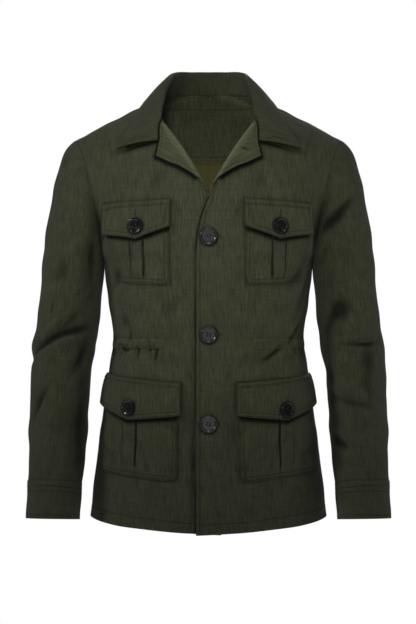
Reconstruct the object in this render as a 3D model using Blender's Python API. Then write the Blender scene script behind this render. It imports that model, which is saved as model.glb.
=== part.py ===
"""Single-breasted field jacket with a shirt collar, folded lapels and four flap patch pockets.

Every cut piece is a thin closed wall in the pose of a worn, empty jacket.  Units are metres,
+Z is up, the front faces -Y and the wearer's left is +X.  The origin lies on the wearer's
shoulder line, half way between the shoulders, at the middle height of the shoulder seams.
Each outer panel is a base surface (the outside face of the cloth) worked out row by row from
a short table.  Inner layers lie under it and pockets, flaps and buttons are lifted off it.
"""
import math

import bmesh
import bpy
import numpy as np
from mathutils import Matrix, Vector
from mathutils.bvhtree import BVHTree

# ---- cloth and gaps --------------------------------------------------------------------
CLOTH = 0.0012          # outer cloth
FACING = 0.0010         # front and back neck facings
LINING = 0.0010         # back lining
COLLAR = 0.0022         # two layers and interlining
LAYER_GAP = 0.0003      # between layers and at the seams
PATCH_GAP = 0.0008      # under the pockets, over the facets of the panel
FACING_IN = CLOTH + LAYER_GAP
YOKE_EDGE = -0.0600      # lower edge of the back neck facing at the centre back
PLAIN_COLUMNS = 11       # points along a row where nothing is drawn in
SECTION_FULLNESS = 0.60  # handle length of a section's curve; 0.55 would be an ellipse

# ---- front opening ---------------------------------------------------------------------
UNDERLAP_DROP = 0.0050  # the right front lies this much under the left one at the centre
FOLD_RADIUS = 0.0025    # inside radius of the lapel's fold
LAPEL_REST = 0.0010     # the lapel's free edge over the chest
FACING_COLUMNS = 4      # the facing is this many of the front's columns wide

# A front, from the hem up to the shoulder seam.  "in" is the front edge, then the roll line,
# then the neckline; "out" is the side seam, then the armhole.  bow 1 is a rounded section
# and 0 a straight line.  turn is how far the edge folds back, lapel its width over the chest.
FRONT_COLUMNS = ("name", "x_in", "y_in", "z_in", "x_out", "y_out", "z_out", "bow", "turn", "lapel")
FRONT_ROWS = (
    ("hem", -0.0195, -0.1250, -0.6705, 0.1932, 0.0, -0.6530, 1.00, 0, 0.0),
    ("above_hem", -0.0195, -0.1245, -0.6200, 0.1890, 0.0, -0.6070, 1.00, 0, 0.0),
    ("pocket", -0.0195, -0.1230, -0.5600, 0.1822, 0.0, -0.5480, 1.00, 0, 0.0),
    ("seat", -0.0195, -0.1205, -0.5000, 0.1743, 0.0, -0.4890, 1.00, 0, 0.0),
    ("hip", -0.0195, -0.1160, -0.4400, 0.1662, 0.0, -0.4300, 1.00, 0, 0.0),
    ("under_waist", -0.0195, -0.1105, -0.4050, 0.1612, 0.0, -0.3970, 1.00, 0, 0.0),
    ("waist_low", -0.0195, -0.1075, -0.3830, 0.1578, 0.0, -0.3760, 1.00, 0, 0.0),
    ("waist", -0.0195, -0.1062, -0.3620, 0.1572, 0.0, -0.3570, 1.00, 0, 0.0),
    ("over_waist", -0.0195, -0.1075, -0.3350, 0.1602, 0.0, -0.3310, 1.00, 0, 0.0),
    ("ribs", -0.0195, -0.1120, -0.2950, 0.1653, 0.0, -0.2930, 1.00, 0, 0.0),
    ("armpit", -0.0195, -0.1170, -0.2500, 0.1715, 0.0, -0.2425, 1.00, 0, 0.0),
    ("low_chest", -0.0185, -0.1195, -0.2150, 0.1745, -0.030, -0.2280, 0.92, 0, 0.0),
    ("chest", -0.0125, -0.1200, -0.1780, 0.1780, -0.053, -0.1950, 0.78, 0, 0.0),
    ("break", 0.0010, -0.1180, -0.1400, 0.1835, -0.062, -0.1570, 0.64, 0, 0.0),
    ("roll_low", 0.0090, -0.1140, -0.1240, 0.1865, -0.062, -0.1370, 0.58, 80, 0.0),
    ("roll_mid", 0.0185, -0.1085, -0.1060, 0.1895, -0.060, -0.1200, 0.53, 165, 0.006),
    ("roll_wide", 0.0300, -0.1020, -0.0860, 0.1930, -0.055, -0.1040, 0.48, 180, 0.0175),
    ("roll_high", 0.0415, -0.0945, -0.0670, 0.1965, -0.049, -0.0900, 0.43, 180, 0.0330),
    ("tip", 0.0510, -0.0875, -0.0525, 0.1993, -0.043, -0.0795, 0.39, 180, 0.0425),
    ("notch", 0.0620, -0.0790, -0.0370, 0.2028, -0.035, -0.0690, 0.34, 180, 0.0230),
    ("gorge", 0.0715, -0.0705, -0.0240, 0.2065, -0.028, -0.0590, 0.29, 180, 0.0105),
    ("apex", 0.0775, -0.0630, -0.0145, 0.2090, -0.022, -0.0530, 0.25, 90, 0.0),
    ("neck", 0.0815, -0.0430, 0.0035, 0.2128, -0.012, -0.0440, 0.18, 0, 0.0),
    ("neck_high", 0.0815, -0.0220, 0.0215, 0.2150, -0.005, -0.0388, 0.10, 0, 0.0),
    ("shoulder", 0.0780, 0.0, 0.0345, 0.2168, 0.0, -0.0360, 0.00, 0, 0.0),
)
# The right half of the back, from the hem up to the shoulder seam, in the same way.
BACK_COLUMNS = ("name", "x_in", "y_in", "z_in", "x_out", "y_out", "z_out", "bow")
BACK_ROWS = (
    ("hem", 0.0, 0.1200, -0.6550, 0.1932, 0.0, -0.6530, 1.00),
    ("above_hem", 0.0, 0.1170, -0.6070, 0.1890, 0.0, -0.6070, 1.00),
    ("pocket", 0.0, 0.1130, -0.5480, 0.1822, 0.0, -0.5480, 1.00),
    ("seat", 0.0, 0.1085, -0.4890, 0.1743, 0.0, -0.4890, 1.00),
    ("hip", 0.0, 0.1005, -0.4300, 0.1662, 0.0, -0.4300, 1.00),
    ("under_waist", 0.0, 0.0925, -0.3970, 0.1612, 0.0, -0.3970, 1.00),
    ("waist_low", 0.0, 0.0880, -0.3760, 0.1578, 0.0, -0.3760, 1.00),
    ("waist", 0.0, 0.0860, -0.3570, 0.1572, 0.0, -0.3570, 1.00),
    ("over_waist", 0.0, 0.0880, -0.3310, 0.1602, 0.0, -0.3310, 1.00),
    ("ribs", 0.0, 0.0955, -0.2930, 0.1653, 0.0, -0.2930, 1.00),
    ("armpit", 0.0, 0.1045, -0.2425, 0.1715, 0.0, -0.2425, 1.00),
    ("low_blade", 0.0, 0.1080, -0.2120, 0.1755, 0.032, -0.2260, 0.92),
    ("blade", 0.0, 0.1105, -0.1750, 0.1815, 0.055, -0.1920, 0.80),
    ("high_blade", 0.0, 0.1100, -0.1350, 0.1890, 0.063, -0.1500, 0.70),
    ("upper", 0.0, 0.1065, -0.0950, 0.1960, 0.057, -0.1120, 0.60),
    ("high", 0.0, 0.1000, -0.0550, 0.2025, 0.045, -0.0830, 0.52),
    ("nape", 0.0, 0.0885, -0.0150, 0.2080, 0.030, -0.0630, 0.45),
    ("neck_base", 0.0, 0.0760, 0.0190, 0.2122, 0.018, -0.0495, 0.40),
    ("neck", 0.0, 0.0660, 0.0450, 0.2145, 0.010, -0.0425, 0.34),
    ("neck_turn", 0.0360, 0.0605, 0.0445, 0.2157, 0.005, -0.0388, 0.20),
    ("neck_side", 0.0640, 0.0370, 0.0415, 0.2163, 0.002, -0.0366, 0.10),
    ("shoulder", 0.0780, 0.0, 0.0345, 0.2168, 0.0, -0.0360, 0.00),
)
# Drawn-in waist: troughs pulled by the casing, at a distance back or forward of the side seam.
PUCKER_COLUMNS = ("from_side", "depth", "half_width", "lean", "z_mid", "reach")
FRONT_PUCKERS = (
    (0.0250, 0.0022, 0.0034, -0.10, -0.3790, 0.020),
    (0.0400, 0.0030, 0.0036, 0.10, -0.3800, 0.024),
    (0.0520, 0.0024, 0.0032, 0.30, -0.3770, 0.022),
    (0.0640, 0.0034, 0.0036, 0.45, -0.3790, 0.026),
    (0.0750, 0.0022, 0.0032, 0.35, -0.3740, 0.020),
    (0.0860, 0.0030, 0.0036, 0.15, -0.3760, 0.024),
    (0.0980, 0.0020, 0.0034, 0.00, -0.3720, 0.018),
)
BACK_PUCKERS = (
    (0.0200, 0.0024, 0.0034, 0.10, -0.3740, 0.022),
    (0.0330, 0.0032, 0.0036, -0.10, -0.3720, 0.025),
    (0.0460, 0.0024, 0.0032, -0.20, -0.3700, 0.021),
    (0.0590, 0.0030, 0.0036, -0.10, -0.3730, 0.025),
    (0.0720, 0.0022, 0.0034, 0.10, -0.3710, 0.020),
    (0.0850, 0.0028, 0.0036, 0.15, -0.3720, 0.023),
)

# ---- sleeves and cuffs -----------------------------------------------------------------
SLEEVE_COLUMNS = ("name", "x", "y", "z", "half_width", "half_depth")
SLEEVE_ROWS = (
    ("biceps", 0.2242, 0.002, -0.2620, 0.0505, 0.0640),
    ("upper", 0.2298, -0.001, -0.3150, 0.0506, 0.0610),
    ("over_elbow", 0.2358, -0.006, -0.3650, 0.0502, 0.0585),
    ("elbow", 0.2402, -0.014, -0.4150, 0.0490, 0.0560),
    ("forearm", 0.2435, -0.026, -0.4800, 0.0473, 0.0530),
    ("wrist", 0.2462, -0.041, -0.5500, 0.0453, 0.0495),
    ("cuff_seam", 0.2482, -0.0505, -0.5930, 0.0436, 0.0478),
    ("cuff_hem", 0.2500, -0.0630, -0.6480, 0.0428, 0.0470),
)
# The largest folds, by angle round the sleeve from its inner side forwards, in degrees.
FOLD_COLUMNS = ("side", "angle", "z", "half_length", "half_width", "slope", "depth")
SLEEVE_FOLDS = (
    (-1.0, 150.0, -0.3600, 0.040, 0.0110, 0.55, 0.0060),
    (-1.0, 95.0, -0.4050, 0.045, 0.0100, 0.75, 0.0065),
    (-1.0, 70.0, -0.4550, 0.050, 0.0120, 1.60, 0.0040),
    (-1.0, 40.0, -0.3850, 0.040, 0.0100, -0.50, 0.0050),
    (-1.0, 300.0, -0.4000, 0.050, 0.0110, -0.50, 0.0050),
    (1.0, 60.0, -0.3700, 0.042, 0.0105, -0.60, 0.0055),
    (1.0, 115.0, -0.3950, 0.045, 0.0100, -0.35, 0.0060),
    (1.0, 85.0, -0.4550, 0.050, 0.0120, -1.30, 0.0045),
    (1.0, 150.0, -0.4350, 0.045, 0.0110, 0.60, 0.0040),
    (1.0, 290.0, -0.3900, 0.050, 0.0110, 0.50, 0.0050),
)
ARMHOLE_GAP = 0.0006     # from the armhole's edge to the sleeve
CUFF_STEP = 0.0005       # the cuff stands out over the sleeve by this much

# ---- collar ----------------------------------------------------------------------------
# Stations from the centre back round to the notch: the fold's top and the fall's free edge.
COLLAR_COLUMNS = ("name", "roll_x", "roll_y", "roll_z", "edge_x", "edge_y", "edge_z", "half_fold")
COLLAR_ROWS = (
    ("centre_back", 0.0, 0.0720, 0.0850, 0.0, 0.0870, 0.0280, 0.0032),
    ("back_side", 0.0370, 0.0650, 0.0842, 0.0480, 0.0770, 0.0265, 0.0032),
    ("behind_shoulder", 0.0565, 0.0400, 0.0790, 0.0795, 0.0460, 0.0250, 0.0032),
    ("shoulder", 0.0645, 0.0100, 0.0665, 0.1010, 0.0060, 0.0250, 0.0032),
    ("front_shoulder", 0.0722, -0.0200, 0.0400, 0.1145, -0.0220, 0.0080, 0.0032),
    ("collarbone", 0.0757, -0.0450, 0.0130, 0.1280, -0.0440, -0.0170, 0.0030),
    ("apex", 0.0765, -0.0680, -0.0095, 0.1385, -0.0610, -0.0400, 0.0028),
    ("notch", 0.0765, -0.0860, -0.0440, 0.1468, -0.0760, -0.0595, 0.0),
)
GORGE_GAP = 0.0019      # more room where the seam crosses the fold
APEX_LIFT = np.array([0.12, -0.72, 0.68])  # out of the chest where the fold crosses the seam
COLLAR_REST = 0.0012    # the fall's underside over the shoulders and chest

# ---- pockets ---------------------------------------------------------------------------
# Distances run along the cloth from the centre front; drop is measured down from the flap's
# top edge, which rises or falls by "slant" towards the side.
POCKET_COLUMNS = ("name", "inner", "outer", "top", "slant", "bag_top", "bag_drop", "corner",
                  "pleat", "pleat_width", "flap_inner", "flap_point", "flap_outer", "rise",
                  "bag_inset")
POCKETS = (
    ("chest_left", 0.0560, 0.1690, -0.1375, 0.0030, 0.0145, 0.1410, 0.0110,
     0.1140, 0.0215, 0.0430, 0.0590, 0.0465, 0.0012, 0.0020),
    ("chest_right", 0.0600, 0.1720, -0.1375, 0.0030, 0.0145, 0.1410, 0.0110,
     0.1160, 0.0215, 0.0430, 0.0590, 0.0465, 0.0012, 0.0020),
    ("hip_left", 0.0430, 0.2020, -0.4340, 0.0060, 0.0180, 0.1560, 0.0140,
     0.1270, 0.0225, 0.0520, 0.0670, 0.0500, 0.0016, 0.0060),
    ("hip_right", 0.0430, 0.2020, -0.4340, 0.0060, 0.0180, 0.1560, 0.0140,
     0.1300, 0.0225, 0.0520, 0.0670, 0.0500, 0.0016, 0.0060),
)
PLEAT_RISE = 0.0016
FLAP = 0.0018

# ---- buttons ---------------------------------------------------------------------------
FRONT_BUTTON_COLUMNS = ("name", "z")
FRONT_BUTTONS = (
    ("button_front_1", -0.2000),
    ("button_front_2", -0.3560),
    ("button_front_3", -0.4965),
)
FRONT_BUTTON_RADIUS = 0.0134
POCKET_BUTTON_RADIUS = 0.0122
POCKET_BUTTON_DROP = (0.0390, 0.0530)   # from the flap's top edge, chest and hip
BUTTON_PROFILE = ((0.30, 0.0), (0.32, 0.0008), (0.86, 0.0010), (1.00, 0.0020), (0.97, 0.0032),
                  (0.84, 0.0036), (0.70, 0.0028), (0.0, 0.0026))
BUTTON_SIDES = 12

OLIVE = (0.042, 0.045, 0.028, 1.0)
OLIVE_FACING = (0.055, 0.060, 0.035, 1.0)
OLIVE_LINING = (0.058, 0.058, 0.022, 1.0)
BLACK = (0.006, 0.007, 0.007, 1.0)


def unit(vector):
    """A vector scaled to length one."""
    array = np.asarray(vector, float)
    return array / max(float(np.linalg.norm(array)), 1e-12)


class Rows:
    """A table of rows, read at any height by a smooth curve through each column."""

    def __init__(self, rows):
        self.names = [row[0] for row in rows]
        self.values = np.array([row[1:] for row in rows], float)
        steps = np.diff(self.values, axis=0)
        before, after = steps[:-1], steps[1:]
        same = before * after > 0
        total = np.where(np.abs(before + after) < 1e-12, 1.0, before + after)
        inner = np.where(same, 2 * before * after / total, 0.0)
        self.slopes = np.vstack([steps[:1], inner, steps[-1:]])

    def at(self, v):
        """The columns at row position v, where whole numbers are the table's rows."""
        low = int(min(max(math.floor(v), 0), len(self.values) - 2))
        t = v - low
        a, b = self.values[low], self.values[low + 1]
        c, d = self.slopes[low], self.slopes[low + 1]
        return ((1 + 2 * t) * (1 - t) ** 2 * a + t * (1 - t) ** 2 * c
                + t * t * (3 - 2 * t) * b + t * t * (t - 1) * d)

    def index(self, name):
        """The row position of a named row."""
        return float(self.names.index(name))


def section(row, count=41):
    """The curve of one panel row from its inner to its outer end, as close points."""
    start, end, bow = row[0:3], row[3:6], row[6]
    chord = end - start
    k = SECTION_FULLNESS
    lead = np.array([k * chord[0], 0.0, chord[2] / 3])
    arrive = np.array([0.0, k * chord[1], chord[2] / 3])
    first = start + (1 - bow) * chord / 3 + bow * lead
    second = end - (1 - bow) * chord / 3 - bow * arrive
    t = np.linspace(0, 1, count)[:, None]
    return ((1 - t) ** 3 * start + 3 * t * (1 - t) ** 2 * first
            + 3 * t * t * (1 - t) * second + t ** 3 * end)


def along(points, distances):
    """Points at given distances along a polyline."""
    steps = np.linalg.norm(np.diff(points, axis=0), axis=1)
    reach = np.concatenate([[0.0], np.cumsum(steps)])
    return np.stack([np.interp(distances, reach, points[:, i]) for i in range(3)], axis=1)


def length(points):
    """The length of a polyline."""
    return float(np.linalg.norm(np.diff(points, axis=0), axis=1).sum())


def sink(from_side, z, puckers):
    """How deep the drawn-in waist pulls the cloth at one place."""
    total = 0.0
    for place, depth, half_width, lean, z_mid, reach in puckers:
        off = (from_side - place - lean * (z - z_mid)) / half_width
        fade = max(0.0, 1 - ((z - z_mid) / reach) ** 2)
        total += depth * math.exp(-off * off) * fade ** 1.5
    return total


class Panel:
    """One side of the body: rows of cloth from an inner edge to a side seam or armhole."""

    def __init__(self, rows, puckers, side=1.0, drop=0.0):
        self.rows = Rows(rows)
        self.puckers = puckers
        self.side = side
        self.drop = drop
        heights = np.linspace(0, len(rows) - 1, 400)
        self.lookup = (heights, np.array([self.rows.at(v)[2] for v in heights]))
        self.chest = None

    def row(self, v):
        """The table's columns at v, with the under front set back at the centre."""
        values = self.rows.at(v).copy()
        values[1] += self.drop * min(1.0, max(0.0, (-values[2] - 0.090) / 0.040))
        return values

    def height(self, z):
        """The row position whose inner end is at height z."""
        return float(np.interp(z, self.lookup[1], self.lookup[0]))

    def place(self, v, distance):
        """A point of the unpuckered outside face, at a distance from the row's inner end."""
        return along(section(self.row(v)), [distance])[0]

    def base(self, v, distance):
        """The outside face at one place and its outward normal, both in this side's x."""
        step = 0.0015
        curve = section(self.row(v))
        whole = length(curve)
        distance = min(max(distance, 0.0), whole)
        ahead, behind = min(distance + step, whole), max(distance - step, 0.0)
        point, first, last = along(curve, [distance, behind, ahead])
        high, low = min(v + 0.04, len(self.rows.names) - 1.0), max(v - 0.04, 0.0)
        up = self.place(high, distance) - self.place(low, distance)
        normal = unit(np.cross(last - first, up))
        if self.row(v)[1] > 0 or self.puckers is BACK_PUCKERS:
            normal = -normal
        point = point - normal * sink(whole - distance, point[2], self.puckers)
        return point, normal

    def spot(self, cloth, z, lift):
        """A point lifted off the panel, by distance from the centre front and by height."""
        v = self.height(z)
        point, normal = self.base(v, cloth - self.row(v)[0])
        return (point + normal * lift) * np.array([self.side, 1.0, 1.0])

    def ground(self, point, normal):
        """The outside face and its normal straight below a point that lies over the chest."""
        if self.chest is None:
            heights = np.arange(11.0, len(self.rows.names) - 0.99, 0.25)
            grid = [section(self.row(v), 25) for v in heights]
            verts = [tuple(p) for curve in grid for p in curve]
            quads = [(r * 25 + c, r * 25 + c + 1, (r + 1) * 25 + c + 1, (r + 1) * 25 + c)
                     for r in range(len(grid) - 1) for c in range(24)]
            self.chest = BVHTree.FromPolygons(verts, quads)
        origin = Vector(point + normal * 0.05)
        hit, face, _, _ = self.chest.ray_cast(origin, Vector(-normal), 0.12)
        if hit is None:
            return np.array(point), normal
        face = np.array(face)
        return np.array(hit), face if face @ normal > 0 else -face

    def edge_frame(self, v):
        """The roll line's point, outward normal and the direction across it to the neck."""
        top = len(self.rows.names) - 1.0
        point, normal = self.base(v, 0.0)
        run = self.row(min(v + 0.1, top))[:3] - self.row(max(v - 0.1, 0.0))[:3]
        across = unit(np.cross(run, normal))
        return point, normal, across if across[0] < 0 else -across

    def lapel(self, v, arc_steps, flat_steps):
        """Points of the folded edge from the lapel's free edge back to the roll line."""
        values = self.row(v)
        turn, width = math.radians(values[7]), values[8]
        if turn < 0.02:
            return [], []
        point, normal, across = self.edge_frame(v)
        r = FOLD_RADIUS
        marks, points = [], []
        for i in range(1, arc_steps + 1):
            angle = turn * i / arc_steps
            marks.append(-i / arc_steps)
            points.append(point + r * (math.sin(angle) * across + (1 - math.cos(angle)) * normal))
        flat = width - r - FACING_IN - FACING
        if flat > 0.0005:
            for i in range(1, flat_steps + 1):
                share = i / flat_steps
                under, up = self.ground(point - across * flat * share, normal)
                lift = 2 * r + (LAPEL_REST - 2 * r) * share ** 0.8 * min(1.0, flat / 0.02)
                marks.append(-1 - share)
                points.append(under + up * lift)
        return marks[::-1], points[::-1]


def stitch(rows):
    """Triangles between rows of (marks, points) whose marks rise from end to end."""
    points, starts = [], []
    for _, row in rows:
        starts.append(len(points))
        points.extend(row)
    faces = []
    for (low, _), (high, _), a0, b0 in zip(rows, rows[1:], starts, starts[1:]):
        a, b = 0, 0
        while a < len(low) - 1 or b < len(high) - 1:
            step_low = b == len(high) - 1 or (a < len(low) - 1 and low[a + 1] <= high[b + 1])
            if step_low:
                faces.append((a0 + a, a0 + a + 1, b0 + b))
                a += 1
            else:
                faces.append((a0 + a, b0 + b + 1, b0 + b))
                b += 1
    return np.array(points, float), faces


def mesh_normals(points, faces):
    """Area-weighted normals of a triangle sheet."""
    tri = np.array(faces)
    cross = np.cross(points[tri[:, 1]] - points[tri[:, 0]], points[tri[:, 2]] - points[tri[:, 0]])
    normals = np.zeros_like(points)
    for i in range(3):
        np.add.at(normals, tri[:, i], cross)
    return normals / np.maximum(np.linalg.norm(normals, axis=1), 1e-12)[:, None]


def material(name, colour, roughness):
    """A plain surface for one kind of cloth or for the buttons."""
    found = bpy.data.materials.get(name)
    if found is not None:
        return found
    made = bpy.data.materials.new(name)
    made.use_nodes = True
    shader = made.node_tree.nodes["Principled BSDF"]
    shader.inputs["Base Color"].default_value = colour
    shader.inputs["Roughness"].default_value = roughness
    return made


def solid(name, points, faces, look, smooth=True):
    """A closed body from points and faces, turned to face outwards."""
    mesh = bpy.data.meshes.new(name)
    mesh.from_pydata([tuple(p) for p in points], [], [tuple(f) for f in faces])
    body = bmesh.new()
    body.from_mesh(mesh)
    bmesh.ops.triangulate(body, faces=body.faces[:])
    bmesh.ops.recalc_face_normals(body, faces=body.faces[:])
    if body.calc_volume(signed=True) < 0:
        bmesh.ops.reverse_faces(body, faces=body.faces[:])
    body.to_mesh(mesh)
    body.free()
    for polygon in mesh.polygons:
        polygon.use_smooth = smooth
    mesh.materials.append(look)
    made = bpy.data.objects.new(name, mesh)
    bpy.context.collection.objects.link(made)
    return made


def wall(name, outer, inner, faces, look):
    """A closed wall between two copies of one sheet, joined round every free edge."""
    count = len(outer)
    edges = {}
    for face in faces:
        for a, b in zip(face, face[1:] + face[:1]):
            edges.setdefault((min(a, b), max(a, b)), []).append((a, b))
    rims = [uses[0] for uses in edges.values() if len(uses) == 1]
    body = [tuple(f) for f in faces]
    body += [tuple(i + count for i in reversed(f)) for f in faces]
    body += [(b, a, a + count, b + count) for a, b in rims]
    return solid(name, np.vstack([outer, inner]), body, look)


def layer(points, normals, near, far):
    """Two offset copies of a sheet, below its outside face by near and far."""
    return points - normals * near, points - normals * far


def flip(points, side):
    """The sheet on its own side of the body."""
    return points * np.array([side, 1.0, 1.0])


def square_to_seam(normals, picked):
    """Normals with the picked ones turned into the plane of the side and shoulder seams."""
    turned = normals.copy()
    for index in picked:
        turned[index] = unit(turned[index] * np.array([1.0, 0.0, 1.0]))
    return turned


def row_marks(panel, v, plain, dense):
    """Shares along a panel row where it gets points, closer where the waist is drawn in."""
    whole = length(section(panel.row(v)))
    shares = [float(share) for share in np.linspace(0, 1, plain)]
    if dense and -0.406 < panel.row(v)[2] < -0.348:
        places = sorted(pucker[0] for pucker in panel.puckers)
        middle = [(a + b) / 2 for a, b in zip(places, places[1:])]
        ends = [places[0] - 0.006, places[-1] + 0.006]
        shares = [s for s in shares
                  if not places[0] - 0.010 < whole * (1 - s) < places[-1] + 0.010]
        shares += [1 - place / whole for place in places + middle + ends]
    return sorted(shares), whole


def front_sheet(panel, heights, keep=None):
    """The sheet of a front, or its first columns only, with the folded lapel."""
    rows = []
    for v in heights:
        shares, whole = row_marks(panel, v, PLAIN_COLUMNS, True)
        shares = shares[:keep] if keep else shares
        marks, points = panel.lapel(v, 3, 3)
        points = points + [panel.base(v, whole * share)[0] for share in shares]
        rows.append((marks + shares, points))
    points, faces = stitch(rows)
    ends = np.cumsum([len(marks) for marks, _ in rows]) - 1
    return points, faces, ends


def front_heights():
    """Row positions of a front: every table row and a few between them."""
    return sorted([float(i) for i in range(len(FRONT_ROWS))] + [4.5, 6.5, 10.5])


def build_front(side, panel, outer_look, facing_look):
    """The front panel and its facing on one side."""
    word = "left" if side > 0 else "right"
    heights = front_heights()
    armpit = panel.rows.index("armpit")
    for name, keep, near, far, look in (
            ("front_", None, 0.0, CLOTH, outer_look),
            ("facing_", FACING_COLUMNS, FACING_IN, FACING_IN + FACING, facing_look)):
        points, faces, ends = front_sheet(panel, heights, keep)
        normals = mesh_normals(points, faces)
        if normals[0][1] > 0:
            normals = -normals
        seam = list(range(int(ends[-2]) + 1, int(ends[-1]) + 1))
        if keep is None:
            seam += [int(end) for end, v in zip(ends, heights) if v <= armpit]
        normals = square_to_seam(normals, seam)
        points[seam, 1] = -LAYER_GAP / 2
        outer, inner = layer(points, normals, near, far)
        wall(name + word, flip(outer, side), flip(inner, side), faces, look)


def back_heights(panel):
    """Row positions of the back: every table row, and the neck facing's lower edge."""
    return sorted([float(i) for i in range(len(BACK_ROWS))] + [4.5, 6.5, panel.height(YOKE_EDGE)])


def back_half(panel, heights):
    """Rows of the right half of the back."""
    rows = []
    for v in heights:
        shares, whole = row_marks(panel, v, PLAIN_COLUMNS, True)
        rows.append((shares, [panel.base(v, whole * share)[0] for share in shares]))
    return rows


def mirrored(rows):
    """A half sheet joined to its own mirror image along the centre back."""
    points, faces = stitch(rows)
    index = {}
    whole = [tuple(p) for p in points]
    for i, point in enumerate(points):
        if abs(point[0]) < 1e-9:
            index[i] = i
        else:
            index[i] = len(whole)
            whole.append((-point[0], point[1], point[2]))
    faces = list(faces) + [tuple(index[i] for i in reversed(f)) for f in faces[:]]
    return np.array(whole), faces, index


def back_layer(name, panel, heights, near, far, look):
    """One wall of the back between two depths."""
    rows = back_half(panel, heights)
    points, faces, index = mirrored(rows)
    normals = mesh_normals(points, faces)
    if normals[0][1] < 0:
        normals = -normals
    ends = np.cumsum([len(marks) for marks, _ in rows]) - 1
    seam = []
    if near == 0.0:
        seam = [int(end) for end, v in zip(ends, heights) if v <= panel.rows.index("armpit")]
    if heights[-1] == len(BACK_ROWS) - 1.0:
        seam += list(range(int(ends[-2]) + 1, int(ends[-1]) + 1))
    seam += [index[i] for i in seam]
    normals = square_to_seam(normals, seam)
    if seam:
        points[seam, 1] = LAYER_GAP / 2
    outer, inner = layer(points, normals, near, far)
    wall(name, outer, inner, faces, look)


def armhole(front, back):
    """The armhole's edge up the front and down the back: point, normal, way out and angle."""
    loop = []
    for panel, heights, skipped, first, last in (
            (front, front_heights(), ("roll_mid", "roll_high", "notch", "apex", "neck_high"),
             0.0, math.pi),
            (back, back_heights(back), ("neck", "neck_side"), 2 * math.pi, math.pi)):
        armpit = panel.rows.index("armpit")
        left_out = [panel.rows.index(name) for name in skipped] + [back.height(YOKE_EDGE)]
        places = [v for v in heights if v >= armpit and v not in left_out]
        edge = np.array([panel.row(v)[3:6] for v in places])
        steps = np.linalg.norm(np.diff(edge, axis=0), axis=1)
        shares = np.concatenate([[0.0], np.cumsum(steps)]) / steps.sum()
        half = []
        for v, share in zip(places, shares):
            point, normal = panel.base(v, 9.0)
            curve = section(panel.row(v))
            angle = first + (last - first) * share
            way = unit(unit(curve[-1] - curve[-3]) + normal * (0.3 + 0.7 * math.cos(angle / 2) ** 2))
            if v in (armpit, places[-1]):
                normal = unit(normal * np.array([1.0, 0.0, 1.0]))
                way = unit(np.array([1.0, 0.0, -0.5]))
            half.append((point, normal, way, angle))
        loop += half if panel is front else half[::-1][1:-1]
    return loop


def ring(rows, v, angles):
    """One ring of the sleeve, square to the sleeve's own line."""
    x, y, z, half_width, half_depth = rows.at(v)
    top = len(rows.names) - 1.0
    axis = unit(rows.at(min(v + 0.2, top))[:3] - rows.at(max(v - 0.2, 0.0))[:3])
    points = []
    for angle in angles:
        dx, dy = -half_width * math.cos(angle), -half_depth * math.sin(angle)
        points.append((x + dx, y + dy, z - (axis[0] * dx + axis[1] * dy) / axis[2]))
    return np.array(points), axis


def fold_depth(side, angle, z):
    """How far the largest sleeve folds push the cloth in at one place."""
    total = 0.0
    for fold_side, middle, height, half_length, half_width, slope, depth in SLEEVE_FOLDS:
        if fold_side != side:
            continue
        round_way = (math.degrees(angle) - middle + 180.0) % 360.0 - 180.0
        sideways = math.radians(round_way) * 0.052
        rise = z - height
        scale = math.hypot(1.0, slope)
        run = (sideways + slope * rise) / scale
        off = (rise - slope * sideways) / scale
        total += depth * math.exp(-(off / half_width) ** 2 - (run / half_length) ** 2)
    return total


def sleeve_rings(loop, side, cap_steps, levels):
    """Rings of the sleeve's outside face from the armhole down to the cuff seam."""
    rows = Rows(SLEEVE_ROWS)
    angles = [entry[3] for entry in loop]
    first, axis = ring(rows, 0.0, angles)
    rings = []
    for step in range(cap_steps):
        t = step / cap_steps
        points = []
        for (point, _, way, angle), end in zip(loop, first):
            crown = (1 - math.cos(angle)) / 2
            start = point + way * ARMHOLE_GAP
            lead = unit((0.30 + 0.65 * crown, -0.12 * math.sin(angle), -(0.92 - 0.52 * crown)))
            span = np.linalg.norm(end - start)
            one = start + lead * span * (0.30 - 0.12 * crown)
            two = end - axis * span * 0.42
            points.append((1 - t) ** 3 * start + 3 * t * (1 - t) ** 2 * one
                          + 3 * t * t * (1 - t) * two + t ** 3 * end)
        rings.append(np.array(points))
    for v in levels:
        points, _ = ring(rows, v, angles)
        centre = points.mean(axis=0)
        for i, angle in enumerate(angles):
            out = unit(points[i] - centre)
            points[i] = points[i] - out * fold_depth(side, angle, points[i][2])
        rings.append(points)
    return rings


def tube(rings, crown, thickness):
    """A closed wall round rings whose first normals lean to known ones where crown is high."""
    count = len(rings[0])
    points = np.vstack(rings)
    faces = []
    for k in range(len(rings) - 1):
        for i in range(count):
            j = (i + 1) % count
            a, b, c, d = k * count + i, k * count + j, (k + 1) * count + j, (k + 1) * count + i
            faces += [(a, b, c), (a, c, d)]
    found = mesh_normals(points, faces)
    centre = rings[-1].mean(axis=0)
    if (found[-1] @ (rings[-1][-1] - centre)) < 0:
        found = -found
    for i, (normal, share) in enumerate(crown):
        found[i] = unit(found[i] * (1 - share) + normal * share)
    outer, inner = layer(points, found, 0.0, thickness)
    return outer, inner, faces


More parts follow.
